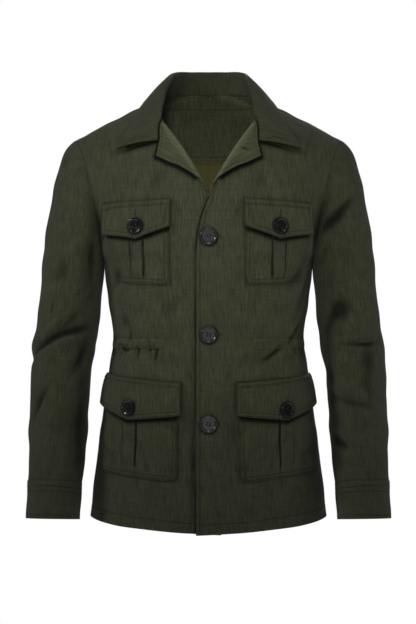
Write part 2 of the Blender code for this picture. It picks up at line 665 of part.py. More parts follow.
def build_sleeves(front, back, look):
    """Both sleeves and cuffs."""
    rows = Rows(SLEEVE_ROWS)
    seam = rows.index("cuff_seam")
    levels = [0.0, 0.5, 1.0, 1.4, 1.8, 2.2, 2.6, 3.0, 3.35, 3.7, 4.2, 5.0, seam]
    loop = armhole(front, back)
    crown = [(normal, min(1.0, max(0.0, (-math.cos(angle) + 0.2) / 0.6)))
             for _, normal, _, angle in loop]
    angles = [2 * math.pi * i / 20 for i in range(20)]
    for side in (1.0, -1.0):
        word = "left" if side > 0 else "right"
        sleeve = sleeve_rings(loop, side, 4, levels)
        cuff = []
        for v in (seam, seam + 0.5, seam + 1.0):
            points, axis = ring(rows, v, angles)
            centre = points.mean(axis=0)
            out = np.array([unit(point - centre) for point in points])
            shift = axis * LAYER_GAP * 1.2 if v == seam else 0.0
            cuff.append(points + out * CUFF_STEP + shift)
        for name, rings, first, thickness in (("sleeve_", sleeve, crown, CLOTH),
                                              ("cuff_", cuff, (), CLOTH + CUFF_STEP)):
            outer, inner, faces = tube(rings, first, thickness)
            wall(name + word, flip(outer, side), flip(inner, side), faces, look)


def neck_seam(front, back, stations):
    """Points of the seam line from the centre back round to the notch, by station number."""
    nodes = {}
    neck, shoulder = back.rows.index("neck"), front.rows.index("shoulder")
    for step in range(4):
        nodes[float(step)] = back.row(neck + step)[:3]
    for step in range(3):
        nodes[4.0 + step] = front.row(shoulder - 1 - step)[:3]
    apex = front.rows.index("apex")
    for station, v in ((6.0, apex), (6.5, apex - 1), (7.0, apex - 2)):
        nodes[station] = front.lapel(v, 3, 3)[1][0]
    known = sorted(nodes)
    return np.stack([np.interp(stations, known, [nodes[k][i] for k in known])
                     for i in range(3)], axis=1)


def spline(control, count):
    """A smooth curve led by its control points, with even steps along it."""
    control = np.array(control)
    degree, total = 3, len(control)
    knots = np.concatenate([[0] * degree, np.linspace(0, 1, total - degree + 1), [1] * degree])
    found = []
    for t in np.linspace(0, 1, 60):
        t = min(t, 1 - 1e-9)
        span = int(np.searchsorted(knots, t, side="right") - 1)
        local = [control[j + span - degree].copy() for j in range(degree + 1)]
        for r in range(1, degree + 1):
            for j in range(degree, r - 1, -1):
                low = knots[j + span - degree]
                high = knots[j + 1 + span - r]
                share = 0.0 if high <= low else (t - low) / (high - low)
                local[j] = (1 - share) * local[j - 1] + share * local[j]
        found.append(local[degree])
    found = np.array(found)
    return along(found, np.linspace(0, length(found), count))


def collar_profile(seam, values, station, count):
    """One section of the collar from its seam over the fold to the free edge."""
    roll, edge, half_fold = values[0:3], values[3:6], values[6]
    stand = max(0.0, min(1.0, (6.4 - station) / 1.6))
    out = unit((edge - roll) * np.array([1.0, 1.0, 0.0]))
    rise = unit(roll - seam + np.array([0.0, 0.0, 1e-6]))
    crossing = max(0.0, min(1.0, (station - 4.8) / 1.0))
    flat = max(0.0, min(1.0, (station - 6.0) / 0.5))
    leave = unit(unit(rise * (1 - crossing) + APEX_LIFT * crossing) * (1 - flat)
                 + unit(edge - seam) * flat)
    start = seam + leave * (LAYER_GAP * 1.8 + GORGE_GAP * crossing)
    top = roll + rise * 0.0015 * stand
    inner = start + (top - out * half_fold - start) * stand
    outer = start + (top + out * half_fold - start) * stand
    fall = edge - outer
    swell = np.array([0.0, 0.0, 0.0025]) + out * 0.0010
    control = [start, start + (inner - start) * 0.5, inner, outer,
               outer + fall * 0.30 + swell, outer + fall * 0.68 + swell, edge]
    return spline(control, count)


def rest_on(points, tree, clearance):
    """Points moved out where they come nearer to the body than a clearance."""
    moved = []
    for point in points:
        hit, normal, _, _ = tree.find_nearest(Vector(point))
        hit, normal = np.array(hit), np.array(normal)
        over = float((point - hit) @ normal)
        moved.append(point + normal * (clearance - over) if over < clearance else point)
    return np.array(moved)


def body_tree(front, back):
    """The outside of one half of the upper body, for pieces that rest on it."""
    verts, quads = [], []
    for panel in (front, back):
        heights = np.linspace(panel.rows.index("armpit"), len(panel.rows.names) - 1.0, 60)
        first = len(verts)
        for v in heights:
            curve = section(panel.row(v), 30)
            verts += [tuple(p) for p in curve]
        for r in range(59):
            for c in range(29):
                a, b = first + r * 30 + c, first + (r + 1) * 30 + c
                quads.append((a, a + 1, b + 1, b) if panel is front else (a, b, b + 1, a + 1))
    return BVHTree.FromPolygons(verts, quads)


def build_collar(front, back, look):
    """The collar: stand, fold and fall in one wall from notch to notch."""
    rows = Rows(COLLAR_ROWS)
    stations = [0.0, 0.5, 1.0, 1.5, 2.0, 2.5, 3.0, 3.5, 4.0, 4.5, 5.0, 5.5, 6.0, 6.5, 7.0]
    seam = neck_seam(front, back, stations)
    tree = body_tree(front, back)
    count = 13
    marks = list(np.linspace(0, 1, count))
    grid = []
    for point, station in zip(seam, stations):
        curve = collar_profile(point, rows.at(station), station, count)
        fall = count - 6
        curve[fall:] = rest_on(curve[fall:], tree, COLLAR_REST)
        grid.append((marks, list(curve)))
    points, faces, _ = mirrored(grid)
    normals = mesh_normals(points, faces)
    if normals[0][1] > 0:
        normals = -normals
    wall("collar", points, points + normals * COLLAR, faces, look)


def spread(stops, widest):
    """The stops with even steps between them, none wider than a limit."""
    found = [stops[0]]
    for low, high in zip(stops, stops[1:]):
        steps = max(1, math.ceil((high - low) / widest))
        found += [low + (high - low) * (i + 1) / steps for i in range(steps)]
    return found


def pocket_v(values, cloth, drop):
    """Height of a place on a pocket, which follows the slant of its top edge."""
    inner, outer, top, slant = values[0:4]
    return top + slant * (cloth - inner) / (outer - inner) - drop


def build_pocket(name, panel, values, look):
    """A patch pocket with its raised box pleat, and the flap over it."""
    (inner, outer, top, slant, bag_top, bag_drop, corner, pleat, pleat_width,
     flap_inner, flap_point, flap_outer, rise, inset) = values
    half = pleat_width / 2
    left, right = inner + inset, outer - inset
    stops = [left, left + corner, pleat - half - 0.0012, pleat - half, pleat + half,
             pleat + half + 0.0012, right - corner, right]
    columns = spread(stops, 0.0145)
    drops = [bag_top, bag_top + 0.25 * (bag_drop - bag_top), bag_top + 0.5 * (bag_drop - bag_top),
             bag_top + 0.75 * (bag_drop - bag_top), bag_drop - corner, bag_drop]
    rows_low, rows_high = [], []
    for drop in drops:
        low, high = [], []
        for cloth in columns:
            here = cloth
            if drop == bag_drop:
                here = min(max(cloth, left + corner * 0.75), right - corner * 0.75)
                here += (cloth - here) * 0.12
            raised = pleat - half <= cloth <= pleat + half
            z = pocket_v(values, here, drop)
            low.append(panel.spot(here, z, PATCH_GAP))
            high.append(panel.spot(here, z, PATCH_GAP + CLOTH + (PLEAT_RISE if raised else 0.0)))
        rows_low.append(low)
        rows_high.append(high)
    marks = list(np.linspace(0, 1, len(columns)))
    low, faces = stitch([(marks, r) for r in rows_low])
    high, _ = stitch([(marks, r) for r in rows_high])
    wall("pocket_" + name, high, low, faces, look)
    build_flap(name, panel, values, look)


def flap_drop(values, cloth):
    """How far the flap hangs at one place along its top edge."""
    inner, outer = values[0:2]
    flap_inner, flap_point, flap_outer = values[9:12]
    middle = values[7]
    if cloth <= middle:
        return flap_inner + (flap_point - flap_inner) * (cloth - inner) / (middle - inner)
    return flap_outer + (flap_point - flap_outer) * (outer - cloth) / (outer - middle)


def build_flap(name, panel, values, look):
    """The pointed flap, sewn at its top edge and lying over the pocket and its pleat."""
    inner, outer = values[0:2]
    bag_top, pleat, rise = values[4], values[7], values[12]
    columns = spread([inner, pleat, outer], 0.0150)
    over = PATCH_GAP + CLOTH + PLEAT_RISE + LAYER_GAP
    rows_low, rows_high = [], []
    for share in (0.0, 0.12, 0.24, 0.6, 1.0):
        low, high = [], []
        for cloth in columns:
            drop = flap_drop(values, cloth) * share
            climb = min(1.0, share / 0.24)
            lift = PATCH_GAP + (over - PATCH_GAP + rise * share) * climb
            z = pocket_v(values, cloth, drop)
            low.append(panel.spot(cloth, z, lift))
            high.append(panel.spot(cloth, z, lift + FLAP))
        rows_low.append(low)
        rows_high.append(high)
    marks = list(np.linspace(0, 1, len(columns)))
    low, faces = stitch([(marks, r) for r in rows_low])
    high, _ = stitch([(marks, r) for r in rows_high])
    wall("flap_" + name, high, low, faces, look)


def build_button(name, centre, normal, radius, look):
    """A round sewing button with a raised rim, standing on its thread shank."""
    points, faces = [], []
    sides = BUTTON_SIDES
    points.append((0.0, 0.0, 0.0))
    for share, height in BUTTON_PROFILE[:-1]:
        for i in range(sides):
            angle = 2 * math.pi * i / sides
            points.append((radius * share * math.cos(angle), radius * share * math.sin(angle),
                           height))
    points.append((0.0, 0.0, BUTTON_PROFILE[-1][1]))
    rings = len(BUTTON_PROFILE) - 1
    last = len(points) - 1
    for i in range(sides):
        j = (i + 1) % sides
        faces.append((0, 1 + j, 1 + i))
        for k in range(rings - 1):
            a, b = 1 + k * sides, 1 + (k + 1) * sides
            faces.append((a + i, a + j, b + j, b + i))
        top = 1 + (rings - 1) * sides
        faces.append((top + i, top + j, last))
    turn = Vector((0, 0, 1)).rotation_difference(Vector(normal)).to_matrix().to_4x4()
    move = Matrix.Translation(Vector(centre)) @ turn
    placed = [tuple(move @ Vector(p)) for p in points]
    solid(name, placed, faces, look)


def build_buttons(fronts, look):
    """Three front buttons on the left front and one on each pocket flap."""
    step = 0.004
    left = fronts[1.0]
    for name, z in FRONT_BUTTONS:
        centre = left.spot(0.0, z, LAYER_GAP)
        across = left.spot(step, z, 0.0) - left.spot(-step, z, 0.0)
        up = left.spot(0.0, z + step, 0.0) - left.spot(0.0, z - step, 0.0)
        normal = unit(np.cross(across, up))
        build_button(name, centre, normal if normal[1] < 0 else -normal, FRONT_BUTTON_RADIUS,
                     look)
    for row in POCKETS:
        name, values = row[0], row[1:]
        panel = fronts[1.0 if name.endswith("left") else -1.0]
        pleat, rise = values[7], values[12]
        fall = POCKET_BUTTON_DROP[0 if name.startswith("chest") else 1]
        share = fall / flap_drop(values, pleat)
        lift = PATCH_GAP + CLOTH + PLEAT_RISE + LAYER_GAP + rise * share + FLAP + LAYER_GAP
        z = pocket_v(values, pleat, fall)
        centre = panel.spot(pleat, z, lift)
        normal = unit(panel.spot(pleat, z, lift + 0.01) - centre)
        build_button("button_" + name, centre, normal, POCKET_BUTTON_RADIUS, look)


def build():
    """Every piece of the jacket."""
    for old in list(bpy.data.objects):
        bpy.data.objects.remove(old)
    shell = material("olive_cloth", OLIVE, 0.9)
    facing = material("olive_facing", OLIVE_FACING, 0.9)
    lining = material("olive_lining", OLIVE_LINING, 0.7)
    black = material("black_button", BLACK, 0.25)
    fronts = {1.0: Panel(FRONT_ROWS, FRONT_PUCKERS, 1.0, 0.0),
              -1.0: Panel(FRONT_ROWS, FRONT_PUCKERS, -1.0, UNDERLAP_DROP)}
    back = Panel(BACK_ROWS, BACK_PUCKERS)
    for side, panel in fronts.items():
        build_front(side, panel, shell, facing)
    heights = back_heights(back)
    low = back.height(YOKE_EDGE)
    down = back.rows.index("armpit")
    back_layer("back", back, heights, 0.0, CLOTH, shell)
    back_layer("back_facing", back, [v for v in heights if v >= low],
               FACING_IN, FACING_IN + FACING, shell)
    back_layer("back_lining", back, [v for v in heights if down <= v < low] + [low - 0.012],
               FACING_IN, FACING_IN + LINING, lining)
    build_sleeves(fronts[1.0], back, shell)
    build_collar(fronts[1.0], back, shell)
    for row in POCKETS:
        panel = fronts[1.0 if row[0].endswith("left") else -1.0]
        build_pocket(row[0], panel, row[1:], shell)
    build_buttons(fronts, black)


build()
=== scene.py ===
"""Looks of the single-breasted field jacket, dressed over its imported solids.

Every cut piece is a thin shell of olive slub cloth, worked out row by row from the same sizes
as its solid and finished with its own creases, gathers, topstitching and trimmings.  Units are
metres, +Z is up, the front faces -Y and the wearer's left is +X.
"""
import logging
import math
from dataclasses import dataclass, replace
from enum import Enum
from typing import Callable, Optional, Sequence

import bmesh
import bpy
import numpy as np
from mathutils import Matrix, Vector
from mathutils.bvhtree import BVHTree


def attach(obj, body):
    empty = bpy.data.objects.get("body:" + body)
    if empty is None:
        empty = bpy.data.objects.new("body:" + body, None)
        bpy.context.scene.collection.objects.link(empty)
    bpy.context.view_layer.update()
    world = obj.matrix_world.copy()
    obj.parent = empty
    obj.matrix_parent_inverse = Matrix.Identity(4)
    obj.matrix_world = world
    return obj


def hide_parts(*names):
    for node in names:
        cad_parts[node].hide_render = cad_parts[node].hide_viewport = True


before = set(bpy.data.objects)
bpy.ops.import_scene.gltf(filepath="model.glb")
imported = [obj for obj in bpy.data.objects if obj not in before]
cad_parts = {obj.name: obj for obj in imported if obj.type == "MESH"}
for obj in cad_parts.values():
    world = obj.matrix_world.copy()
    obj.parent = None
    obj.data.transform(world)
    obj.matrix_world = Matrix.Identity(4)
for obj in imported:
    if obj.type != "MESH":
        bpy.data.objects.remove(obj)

LOG = logging.getLogger("jacket")
Array = np.ndarray
Face = tuple[int, ...]
Colour = tuple[float, float, float, float]
Socket = bpy.types.NodeSocket

# ---- cloth and gaps
CLOTH = 0.0012           # outer cloth
FACING = 0.0010          # front and back neck facings
LINING = 0.0010          # back lining
COLLAR = 0.0022          # two layers and interlining
LAYER_GAP = 0.0003       # between layers
SEAM_GAP = 0.00003       # between the two cloths of a side or shoulder seam
PATCH_GAP = 0.0008       # under the pockets
FACING_IN = CLOTH + LAYER_GAP
YOKE_EDGE = -0.0600      # lower edge of the back neck facing at the centre back
FACING_SHARE = 0.30      # the facing's share of the front's width
SECTION_FULLNESS = 0.60  # handle length of a section's curve
UNDERLAP_DROP = 0.0050   # the right front lies this much under the left one
FOLD_RADIUS = 0.0025     # inside radius of the lapel's fold
LAPEL_REST = 0.0026      # the lapel's free edge over the chest
FOLD_STEPS = 6           # points round the lapel's fold
LAPEL_STEPS = 12         # points across the turned-back lapel
ROW_STEP = 0.0038        # height of one row of a cloth panel
PANEL_COLUMNS = 116      # points across a front
FRONT_EDGE = -0.0195     # how far each front reaches past the centre line

BODY_ROWS = (  # name, side seam x, z, front edge y, z, centre back y, z
    ("hem", 0.1932, -0.6530, -0.1250, -0.6705, 0.1200, -0.6550),
    ("above_hem", 0.1890, -0.6070, -0.1245, -0.6200, 0.1170, -0.6070),
    ("pocket", 0.1822, -0.5480, -0.1230, -0.5600, 0.1130, -0.5480),
    ("seat", 0.1743, -0.4890, -0.1205, -0.5000, 0.1085, -0.4890),
    ("hip", 0.1662, -0.4300, -0.1160, -0.4400, 0.1005, -0.4300),
    ("under_waist", 0.1612, -0.3970, -0.1105, -0.4050, 0.0925, -0.3970),
    ("waist_low", 0.1578, -0.3760, -0.1075, -0.3830, 0.0880, -0.3760),
    ("waist", 0.1572, -0.3570, -0.1062, -0.3620, 0.0860, -0.3570),
    ("over_waist", 0.1602, -0.3310, -0.1075, -0.3350, 0.0880, -0.3310),
    ("ribs", 0.1653, -0.2930, -0.1120, -0.2950, 0.0955, -0.2930),
    ("armpit", 0.1715, -0.2425, -0.1170, -0.2500, 0.1045, -0.2425),
)
FRONT_ROWS = tuple(  # name, x_in, y_in, z_in, x_out, y_out, z_out, bow, turn, lapel
    (name, FRONT_EDGE, y, z, x_side, 0.0, z_side, 1.00, 0, 0.0)
    for name, x_side, z_side, y, z, _, _ in BODY_ROWS
) + (
    ("low_chest", -0.0185, -0.1195, -0.2150, 0.1745, -0.030, -0.2280, 0.92, 0, 0.0),
    ("chest", -0.0125, -0.1200, -0.1780, 0.1780, -0.053, -0.1950, 0.78, 0, 0.0),
    ("break", 0.0010, -0.1180, -0.1400, 0.1835, -0.062, -0.1570, 0.64, 0, 0.0),
    ("roll_low", 0.0090, -0.1140, -0.1240, 0.1865, -0.062, -0.1370, 0.58, 80, 0.0),
    ("roll_mid", 0.0185, -0.1085, -0.1060, 0.1895, -0.060, -0.1200, 0.53, 165, 0.006),
    ("roll_wide", 0.0300, -0.1020, -0.0860, 0.1930, -0.055, -0.1040, 0.48, 180, 0.0175),
    ("roll_high", 0.0415, -0.0945, -0.0670, 0.1965, -0.049, -0.0900, 0.43, 180, 0.0330),
    ("tip", 0.0510, -0.0875, -0.0525, 0.1993, -0.043, -0.0795, 0.39, 180, 0.0425),
    ("notch", 0.0620, -0.0790, -0.0370, 0.2028, -0.035, -0.0690, 0.34, 180, 0.0230),
    ("gorge", 0.0715, -0.0705, -0.0240, 0.2065, -0.028, -0.0590, 0.29, 180, 0.0105),
    ("apex", 0.0775, -0.0630, -0.0145, 0.2090, -0.022, -0.0530, 0.25, 90, 0.0),
    ("neck", 0.0815, -0.0430, 0.0035, 0.2128, -0.012, -0.0440, 0.18, 0, 0.0),
    ("neck_high", 0.0815, -0.0220, 0.0215, 0.2150, -0.005, -0.0388, 0.10, 0, 0.0),
    ("shoulder", 0.0780, 0.0, 0.0345, 0.2168, 0.0, -0.0360, 0.00, 0, 0.0),
)
BACK_ROWS = tuple(  # name, x_in, y_in, z_in, x_out, y_out, z_out, bow
    (name, 0.0, y, z, x_side, 0.0, z_side, 1.00)
    for name, x_side, z_side, _, _, y, z in BODY_ROWS
) + (
    ("low_blade", 0.0, 0.1080, -0.2120, 0.1755, 0.032, -0.2260, 0.92),
    ("blade", 0.0, 0.1105, -0.1750, 0.1815, 0.055, -0.1920, 0.80),
    ("high_blade", 0.0, 0.1100, -0.1350, 0.1890, 0.063, -0.1500, 0.70),
    ("upper", 0.0, 0.1065, -0.0950, 0.1960, 0.057, -0.1120, 0.60),
    ("high", 0.0, 0.1000, -0.0550, 0.2025, 0.045, -0.0830, 0.52),
    ("nape", 0.0, 0.0885, -0.0150, 0.2080, 0.030, -0.0630, 0.45),
    ("neck_base", 0.0, 0.0760, 0.0190, 0.2122, 0.018, -0.0495, 0.40),
    ("neck", 0.0, 0.0660, 0.0450, 0.2145, 0.010, -0.0425, 0.34),
    ("neck_turn", 0.0360, 0.0605, 0.0445, 0.2157, 0.005, -0.0388, 0.20),
    ("neck_side", 0.0640, 0.0370, 0.0415, 0.2163, 0.002, -0.0366, 0.10),
    ("shoulder", 0.0780, 0.0, 0.0345, 0.2168, 0.0, -0.0360, 0.00),
)
SLEEVE_ROWS = (  # name, x, y, z, half_width, half_depth
    ("biceps", 0.2242, 0.002, -0.2620, 0.0505, 0.0640),
    ("upper", 0.2298, -0.001, -0.3150, 0.0506, 0.0610),
    ("over_elbow", 0.2358, -0.006, -0.3650, 0.0502, 0.0585),
    ("elbow", 0.2402, -0.014, -0.4150, 0.0490, 0.0560),
    ("forearm", 0.2435, -0.026, -0.4800, 0.0473, 0.0530),
    ("wrist", 0.2462, -0.041, -0.5500, 0.0453, 0.0495),
    ("cuff_seam", 0.2482, -0.0505, -0.5930, 0.0436, 0.0478),
    ("cuff_hem", 0.2500, -0.0630, -0.6480, 0.0428, 0.0470),
)
COLLAR_ROWS = (  # name, roll x, y, z, edge x, y, z, half_fold
    ("centre_back", 0.0, 0.0720, 0.0850, 0.0, 0.0870, 0.0280, 0.0032),
    ("back_side", 0.0370, 0.0650, 0.0842, 0.0480, 0.0770, 0.0265, 0.0032),
    ("behind_shoulder", 0.0565, 0.0400, 0.0790, 0.0795, 0.0460, 0.0250, 0.0032),
    ("shoulder", 0.0645, 0.0100, 0.0665, 0.1010, 0.0060, 0.0250, 0.0032),
    ("front_shoulder", 0.0722, -0.0200, 0.0400, 0.1145, -0.0220, 0.0080, 0.0032),
    ("collarbone", 0.0757, -0.0450, 0.0130, 0.1280, -0.0440, -0.0170, 0.0030),
    ("apex", 0.0765, -0.0680, -0.0095, 0.1385, -0.0610, -0.0400, 0.0028),
    ("notch", 0.0765, -0.0860, -0.0440, 0.1468, -0.0760, -0.0595, 0.0),
)
ARMHOLE_GAP = 0.0006
ARMHOLE_DENT = 0.0055     # how far the armhole sinks in at its front and back
CUFF_STEP = 0.0005
HEM_LEVEL = 0.42         # how much the cuff's hem is eased to level
HEM_DROP = 0.0042        # and how far its middle hangs down for that
GORGE_GAP = 0.0019
COLLAR_TUCK = 0.0004     # how far the collar starts below the back neck's edge
APEX_LIFT = np.array([0.12, -0.72, 0.68])
COLLAR_REST = 0.0026
PLEAT_RISE = 0.0016
PLEAT_RAMP = 0.0006      # run of the step at the pleat's sides
FLAP = 0.0018
FRONT_BUTTON_HEIGHTS = (-0.2000, -0.3560, -0.4965)
FRONT_BUTTON_RADIUS = 0.0134
POCKET_BUTTON_RADIUS = 0.0122
CASING = (-0.3800, -0.3630)   # the two stitch lines of the waist casing
CASING_START = 0.0720         # where it starts, along the cloth from the centre front
HEM_ROW = 0.34           # row position of the hem's stitches
FACING_LINE = 0.0229     # height of the line across the back neck facing
TOP_BUTTONHOLE = (0.0530, -0.1100, -0.0585)
TOP_BUTTON_THREAD = (-0.0540, -0.1100, -0.0600)
GENTLE = 0.0014          # depth up to which a trough gets no painted shade
SHADE_DEPTH = 0.0048     # depth beyond that at which the painted shade would be full
MEASURES = {"edge": 1.0, "hem": 1.0, "fold": 0.0}   # surface attributes, where not given; fold carries painted shade, and painted highlight where it is below zero


class Side(Enum):
    """The wearer's side of the jacket."""

    LEFT = 1.0
    RIGHT = -1.0

    @property
    def word(self) -> str:
        """The side's name as the nodes spell it."""
        return self.name.lower()

    @property
    def mirror(self) -> Array:
        """Factors that carry a point of the left half to this side."""
        return np.array([self.value, 1.0, 1.0])


class Held(Enum):
    """How a sheet of cloth is held, in the frame's words."""

    HUNG = "hung"
    FOLDED = "folded"
    LAID = "laid"


@dataclass(frozen=True)
class Crease:
    """A soft trough pressed into the cloth, or a ridge where its depth is negative.

    ``across`` runs along the cloth from the centre line, or round a sleeve in degrees from its
    inner side forwards; ``angle`` is in degrees up from level and ``bend`` curves the trough.
    """

    across: float
    z: float
    angle: float
    half_length: float
    half_width: float
    depth: float
    bend: float = 0.0
    lip: float = 0.45

    def press(self, sideways: Array, z: Array) -> Array:
        """How deep the trough lies at places given beside it.

        Args:
            sideways: Distances along the cloth from the crease's own place.
            z: Heights of the places.

        Returns:
            Depths below the plain cloth, negative on the lip above the trough.
        """
        turn = math.radians(self.angle)
        rise = z - self.z
        run = sideways * math.cos(turn) + rise * math.sin(turn)
        off = rise * math.cos(turn) - sideways * math.sin(turn) - self.bend * run * run
        off = off / self.half_width
        trough = np.exp(-off * off) - self.lip * np.exp(-((off - 1.9) / 1.2) ** 2)
        return self.depth * trough * np.exp(-(run / self.half_length) ** 2)


@dataclass(frozen=True)
class Gather:
    """A vertical trough where the waist casing draws the cloth in."""

    from_side: float
    depth: float
    half_width: float
    lean: float
    z_mid: float
    reach: float

    def press(self, from_side: Array, z: Array) -> Array:
        """How deep the gather lies at places given by their distance from the side seam."""
        rise = z - self.z_mid
        off = (from_side - self.from_side - self.lean * rise) / self.half_width
        fade = np.clip(1.0 - (rise / self.reach) ** 2, 0.0, None) ** 1.5
        return self.depth * np.exp(-off * off) * fade


FRONT_GATHERS = tuple(Gather(*row) for row in (
    (0.0140, 0.0030, 0.0040, -0.10, -0.3770, 0.022),
    (0.0280, 0.0040, 0.0042, 0.05, -0.3790, 0.026),
    (0.0420, 0.0034, 0.0040, 0.15, -0.3760, 0.024),
    (0.0560, 0.0042, 0.0042, 0.30, -0.3790, 0.028),
    (0.0680, 0.0028, 0.0038, 0.25, -0.3730, 0.022),
))
BACK_GATHERS = tuple(Gather(*row) for row in (
    (0.0200, 0.0034, 0.0040, 0.10, -0.3740, 0.024),
    (0.0340, 0.0044, 0.0042, -0.10, -0.3720, 0.028),
    (0.0480, 0.0034, 0.0040, -0.20, -0.3700, 0.023),
    (0.0620, 0.0042, 0.0042, -0.10, -0.3730, 0.027),
    (0.0760, 0.0030, 0.0040, 0.10, -0.3710, 0.022),
    (0.0900, 0.0038, 0.0042, 0.15, -0.3720, 0.025),
))
FRONT_CREASES = {side: tuple(Crease(*row) for row in rows) for side, rows in (
    (Side.LEFT, (
        (0.113, -0.383, 33, 0.030, 0.0042, 0.0056, 2.0),
        (0.150, -0.361, 46, 0.026, 0.0045, 0.0046, -2.0),
        (0.092, -0.372, 4, 0.020, 0.0032, 0.0024),
        (0.140, -0.395, 30, 0.022, 0.0045, 0.0028),
        (0.175, -0.300, 62, 0.035, 0.0090, 0.0034, 2.0),
        (0.150, -0.262, 48, 0.040, 0.0110, 0.0024),
        (0.185, -0.185, 108, 0.040, 0.0100, 0.0036),
        (0.080, -0.115, 62, 0.045, 0.0130, 0.0014, -2.0),
        (0.030, -0.290, 86, 0.070, 0.0140, -0.0012),
        (0.040, -0.520, 95, 0.080, 0.0160, 0.0014),
        (0.110, -0.620, 20, 0.060, 0.0130, 0.0014),
        (0.030, -0.438, 4, 0.030, 0.0050, 0.0012),
    )),
    (Side.RIGHT, (
        (0.118, -0.383, 96, 0.014, 0.0034, 0.0054, 4.0),
        (0.0965, -0.374, 84, 0.011, 0.0030, 0.0046, -4.0),
        (0.0845, -0.388, 100, 0.011, 0.0030, 0.0042),
        (0.135, -0.363, 104, 0.012, 0.0038, 0.0034),
        (0.150, -0.379, 14, 0.018, 0.0050, 0.0040, 3.0),
        (0.140, -0.342, 62, 0.022, 0.0110, 0.0036),
        (0.190, -0.180, 72, 0.045, 0.0100, 0.0040),
        (0.160, -0.265, 130, 0.045, 0.0110, 0.0026),
        (0.085, -0.120, 118, 0.045, 0.0130, 0.0013),
        (0.0235, -0.440, 90, 0.170, 0.0032, 0.0016, 0.0, 0.0),
        (0.0230, -0.590, 91, 0.080, 0.0050, 0.0030, 0.0, 0.3),
        (0.060, -0.300, 97, 0.080, 0.0160, 0.0013),
        (0.075, -0.500, 12, 0.040, 0.0060, 0.0014),
        (0.120, -0.625, 165, 0.060, 0.0130, 0.0014),
    )),
)}
BACK_CREASES = tuple(Crease(*row) for row in (
    (0.060, -0.300, 72, 0.070, 0.0150, 0.0028),
    (0.115, -0.270, 58, 0.060, 0.0130, 0.0032, 2.0),
    (0.100, -0.415, 150, 0.040, 0.0070, 0.0028),
    (0.035, -0.425, 20, 0.035, 0.0060, 0.0020),
    (0.150, -0.160, 100, 0.060, 0.0120, 0.0034),
    (0.050, -0.530, 92, 0.080, 0.0160, 0.0024),
    (0.140, -0.560, 84, 0.080, 0.0150, 0.0024),
    (0.080, -0.080, 25, 0.060, 0.0130, 0.0020),
))
SLEEVE_CREASES = {side: tuple(Crease(*row) for row in rows) for side, rows in (
    (Side.RIGHT, (
        (120.0, -0.3080, 90, 0.015, 0.0050, -0.0042, 0.0, 0.6),
        (100.0, -0.3370, 136, 0.030, 0.0060, -0.0050, 0.0, 0.6),
        (95.0, -0.3590, 159, 0.046, 0.0070, 0.0074, 2.0, 0.4),
        (34.0, -0.4700, 85, 0.100, 0.0150, 0.0050, 0.0, 0.2),
        (127.0, -0.4650, 118, 0.035, 0.0080, 0.0044),
        (50.0, -0.4000, 120, 0.040, 0.0090, 0.0044),
        (150.0, -0.3850, -30, 0.035, 0.0100, 0.0040),
        (80.0, -0.5300, 105, 0.040, 0.0110, 0.0026),
        (55.0, -0.2250, 78, 0.060, 0.0110, 0.0060, 0.0, 0.3),
        (165.0, -0.0780, 60, 0.014, 0.0080, 0.0024),
        (98.0, -0.2500, 84, 0.060, 0.0140, 0.0034),
        (300.0, -0.4000, 27, 0.050, 0.0110, 0.0060),
        (240.0, -0.3600, -25, 0.045, 0.0110, 0.0045),
        (270.0, -0.2300, 80, 0.050, 0.0130, 0.0040),
    )),
    (Side.LEFT, (
        (94.0, -0.1650, 40, 0.052, 0.0064, 0.0080, 0.0, 0.6),
        (60.0, -0.2150, 60, 0.026, 0.0100, 0.0050),
        (90.0, -0.2220, 70, 0.018, 0.0120, 0.0042),
        (56.0, -0.3220, 52, 0.032, 0.0120, 0.0052),
        (101.0, -0.3280, 60, 0.022, 0.0110, -0.0036),
        (103.0, -0.3710, 2, 0.030, 0.0046, 0.0058, 0.0, 0.8),
        (64.0, -0.4640, -12, 0.036, 0.0080, 0.0056),
        (38.0, -0.5300, -15, 0.030, 0.0080, 0.0046),
        (26.0, -0.4300, 90, 0.110, 0.0130, 0.0044, 0.0, 0.2),
        (110.0, -0.4200, 84, 0.060, 0.0140, 0.0030),
        (290.0, -0.3900, -27, 0.050, 0.0110, 0.0060),
        (235.0, -0.4300, 20, 0.045, 0.0110, 0.0045),
        (265.0, -0.2400, 80, 0.050, 0.0130, 0.0040),
    )),
)}
UNEVENNESS = (  # cycles per metre across, cycles per metre up, phase, height
    (9.0, 4.0, 0.4, 0.00080),
    (-13.0, 7.0, 1.9, 0.00055),
    (5.0, 15.0, 3.1, 0.00050),
    (21.0, -9.0, 4.4, 0.00026),
    (17.0, 22.0, 0.9, 0.00020),
)


def bell(offset: Array, width: float) -> Array:
    """One where the offset is zero, fading to nothing over about two widths."""
    return np.exp(-(offset / width) ** 2)


def held(value: Array) -> Array:
    """A value held between zero and one."""
    return np.clip(value, 0.0, 1.0)


def pressed(creases: Sequence[Crease], across: Array, z: Array) -> Array:
    """Depth of all creases and the cloth's own soft unevenness at places on a panel."""
    total = sum(crease.press(across - crease.across, z) for crease in creases)
    for wide, high, phase, height in UNEVENNESS:
        total += height * np.sin(2 * math.pi * (wide * across + high * z) + phase)
    return total


def shaded(depth: Array) -> Array:
    """How much painted shade a crease's depth puts on the cloth; below zero on a ridge, where the
    cloth is painted paler as a highlight.
    """
    paler = np.clip((depth + GENTLE) / SHADE_DEPTH, -0.45, 0.0)
    return paler + np.clip((depth - GENTLE) / SHADE_DEPTH, 0.0, 0.80)


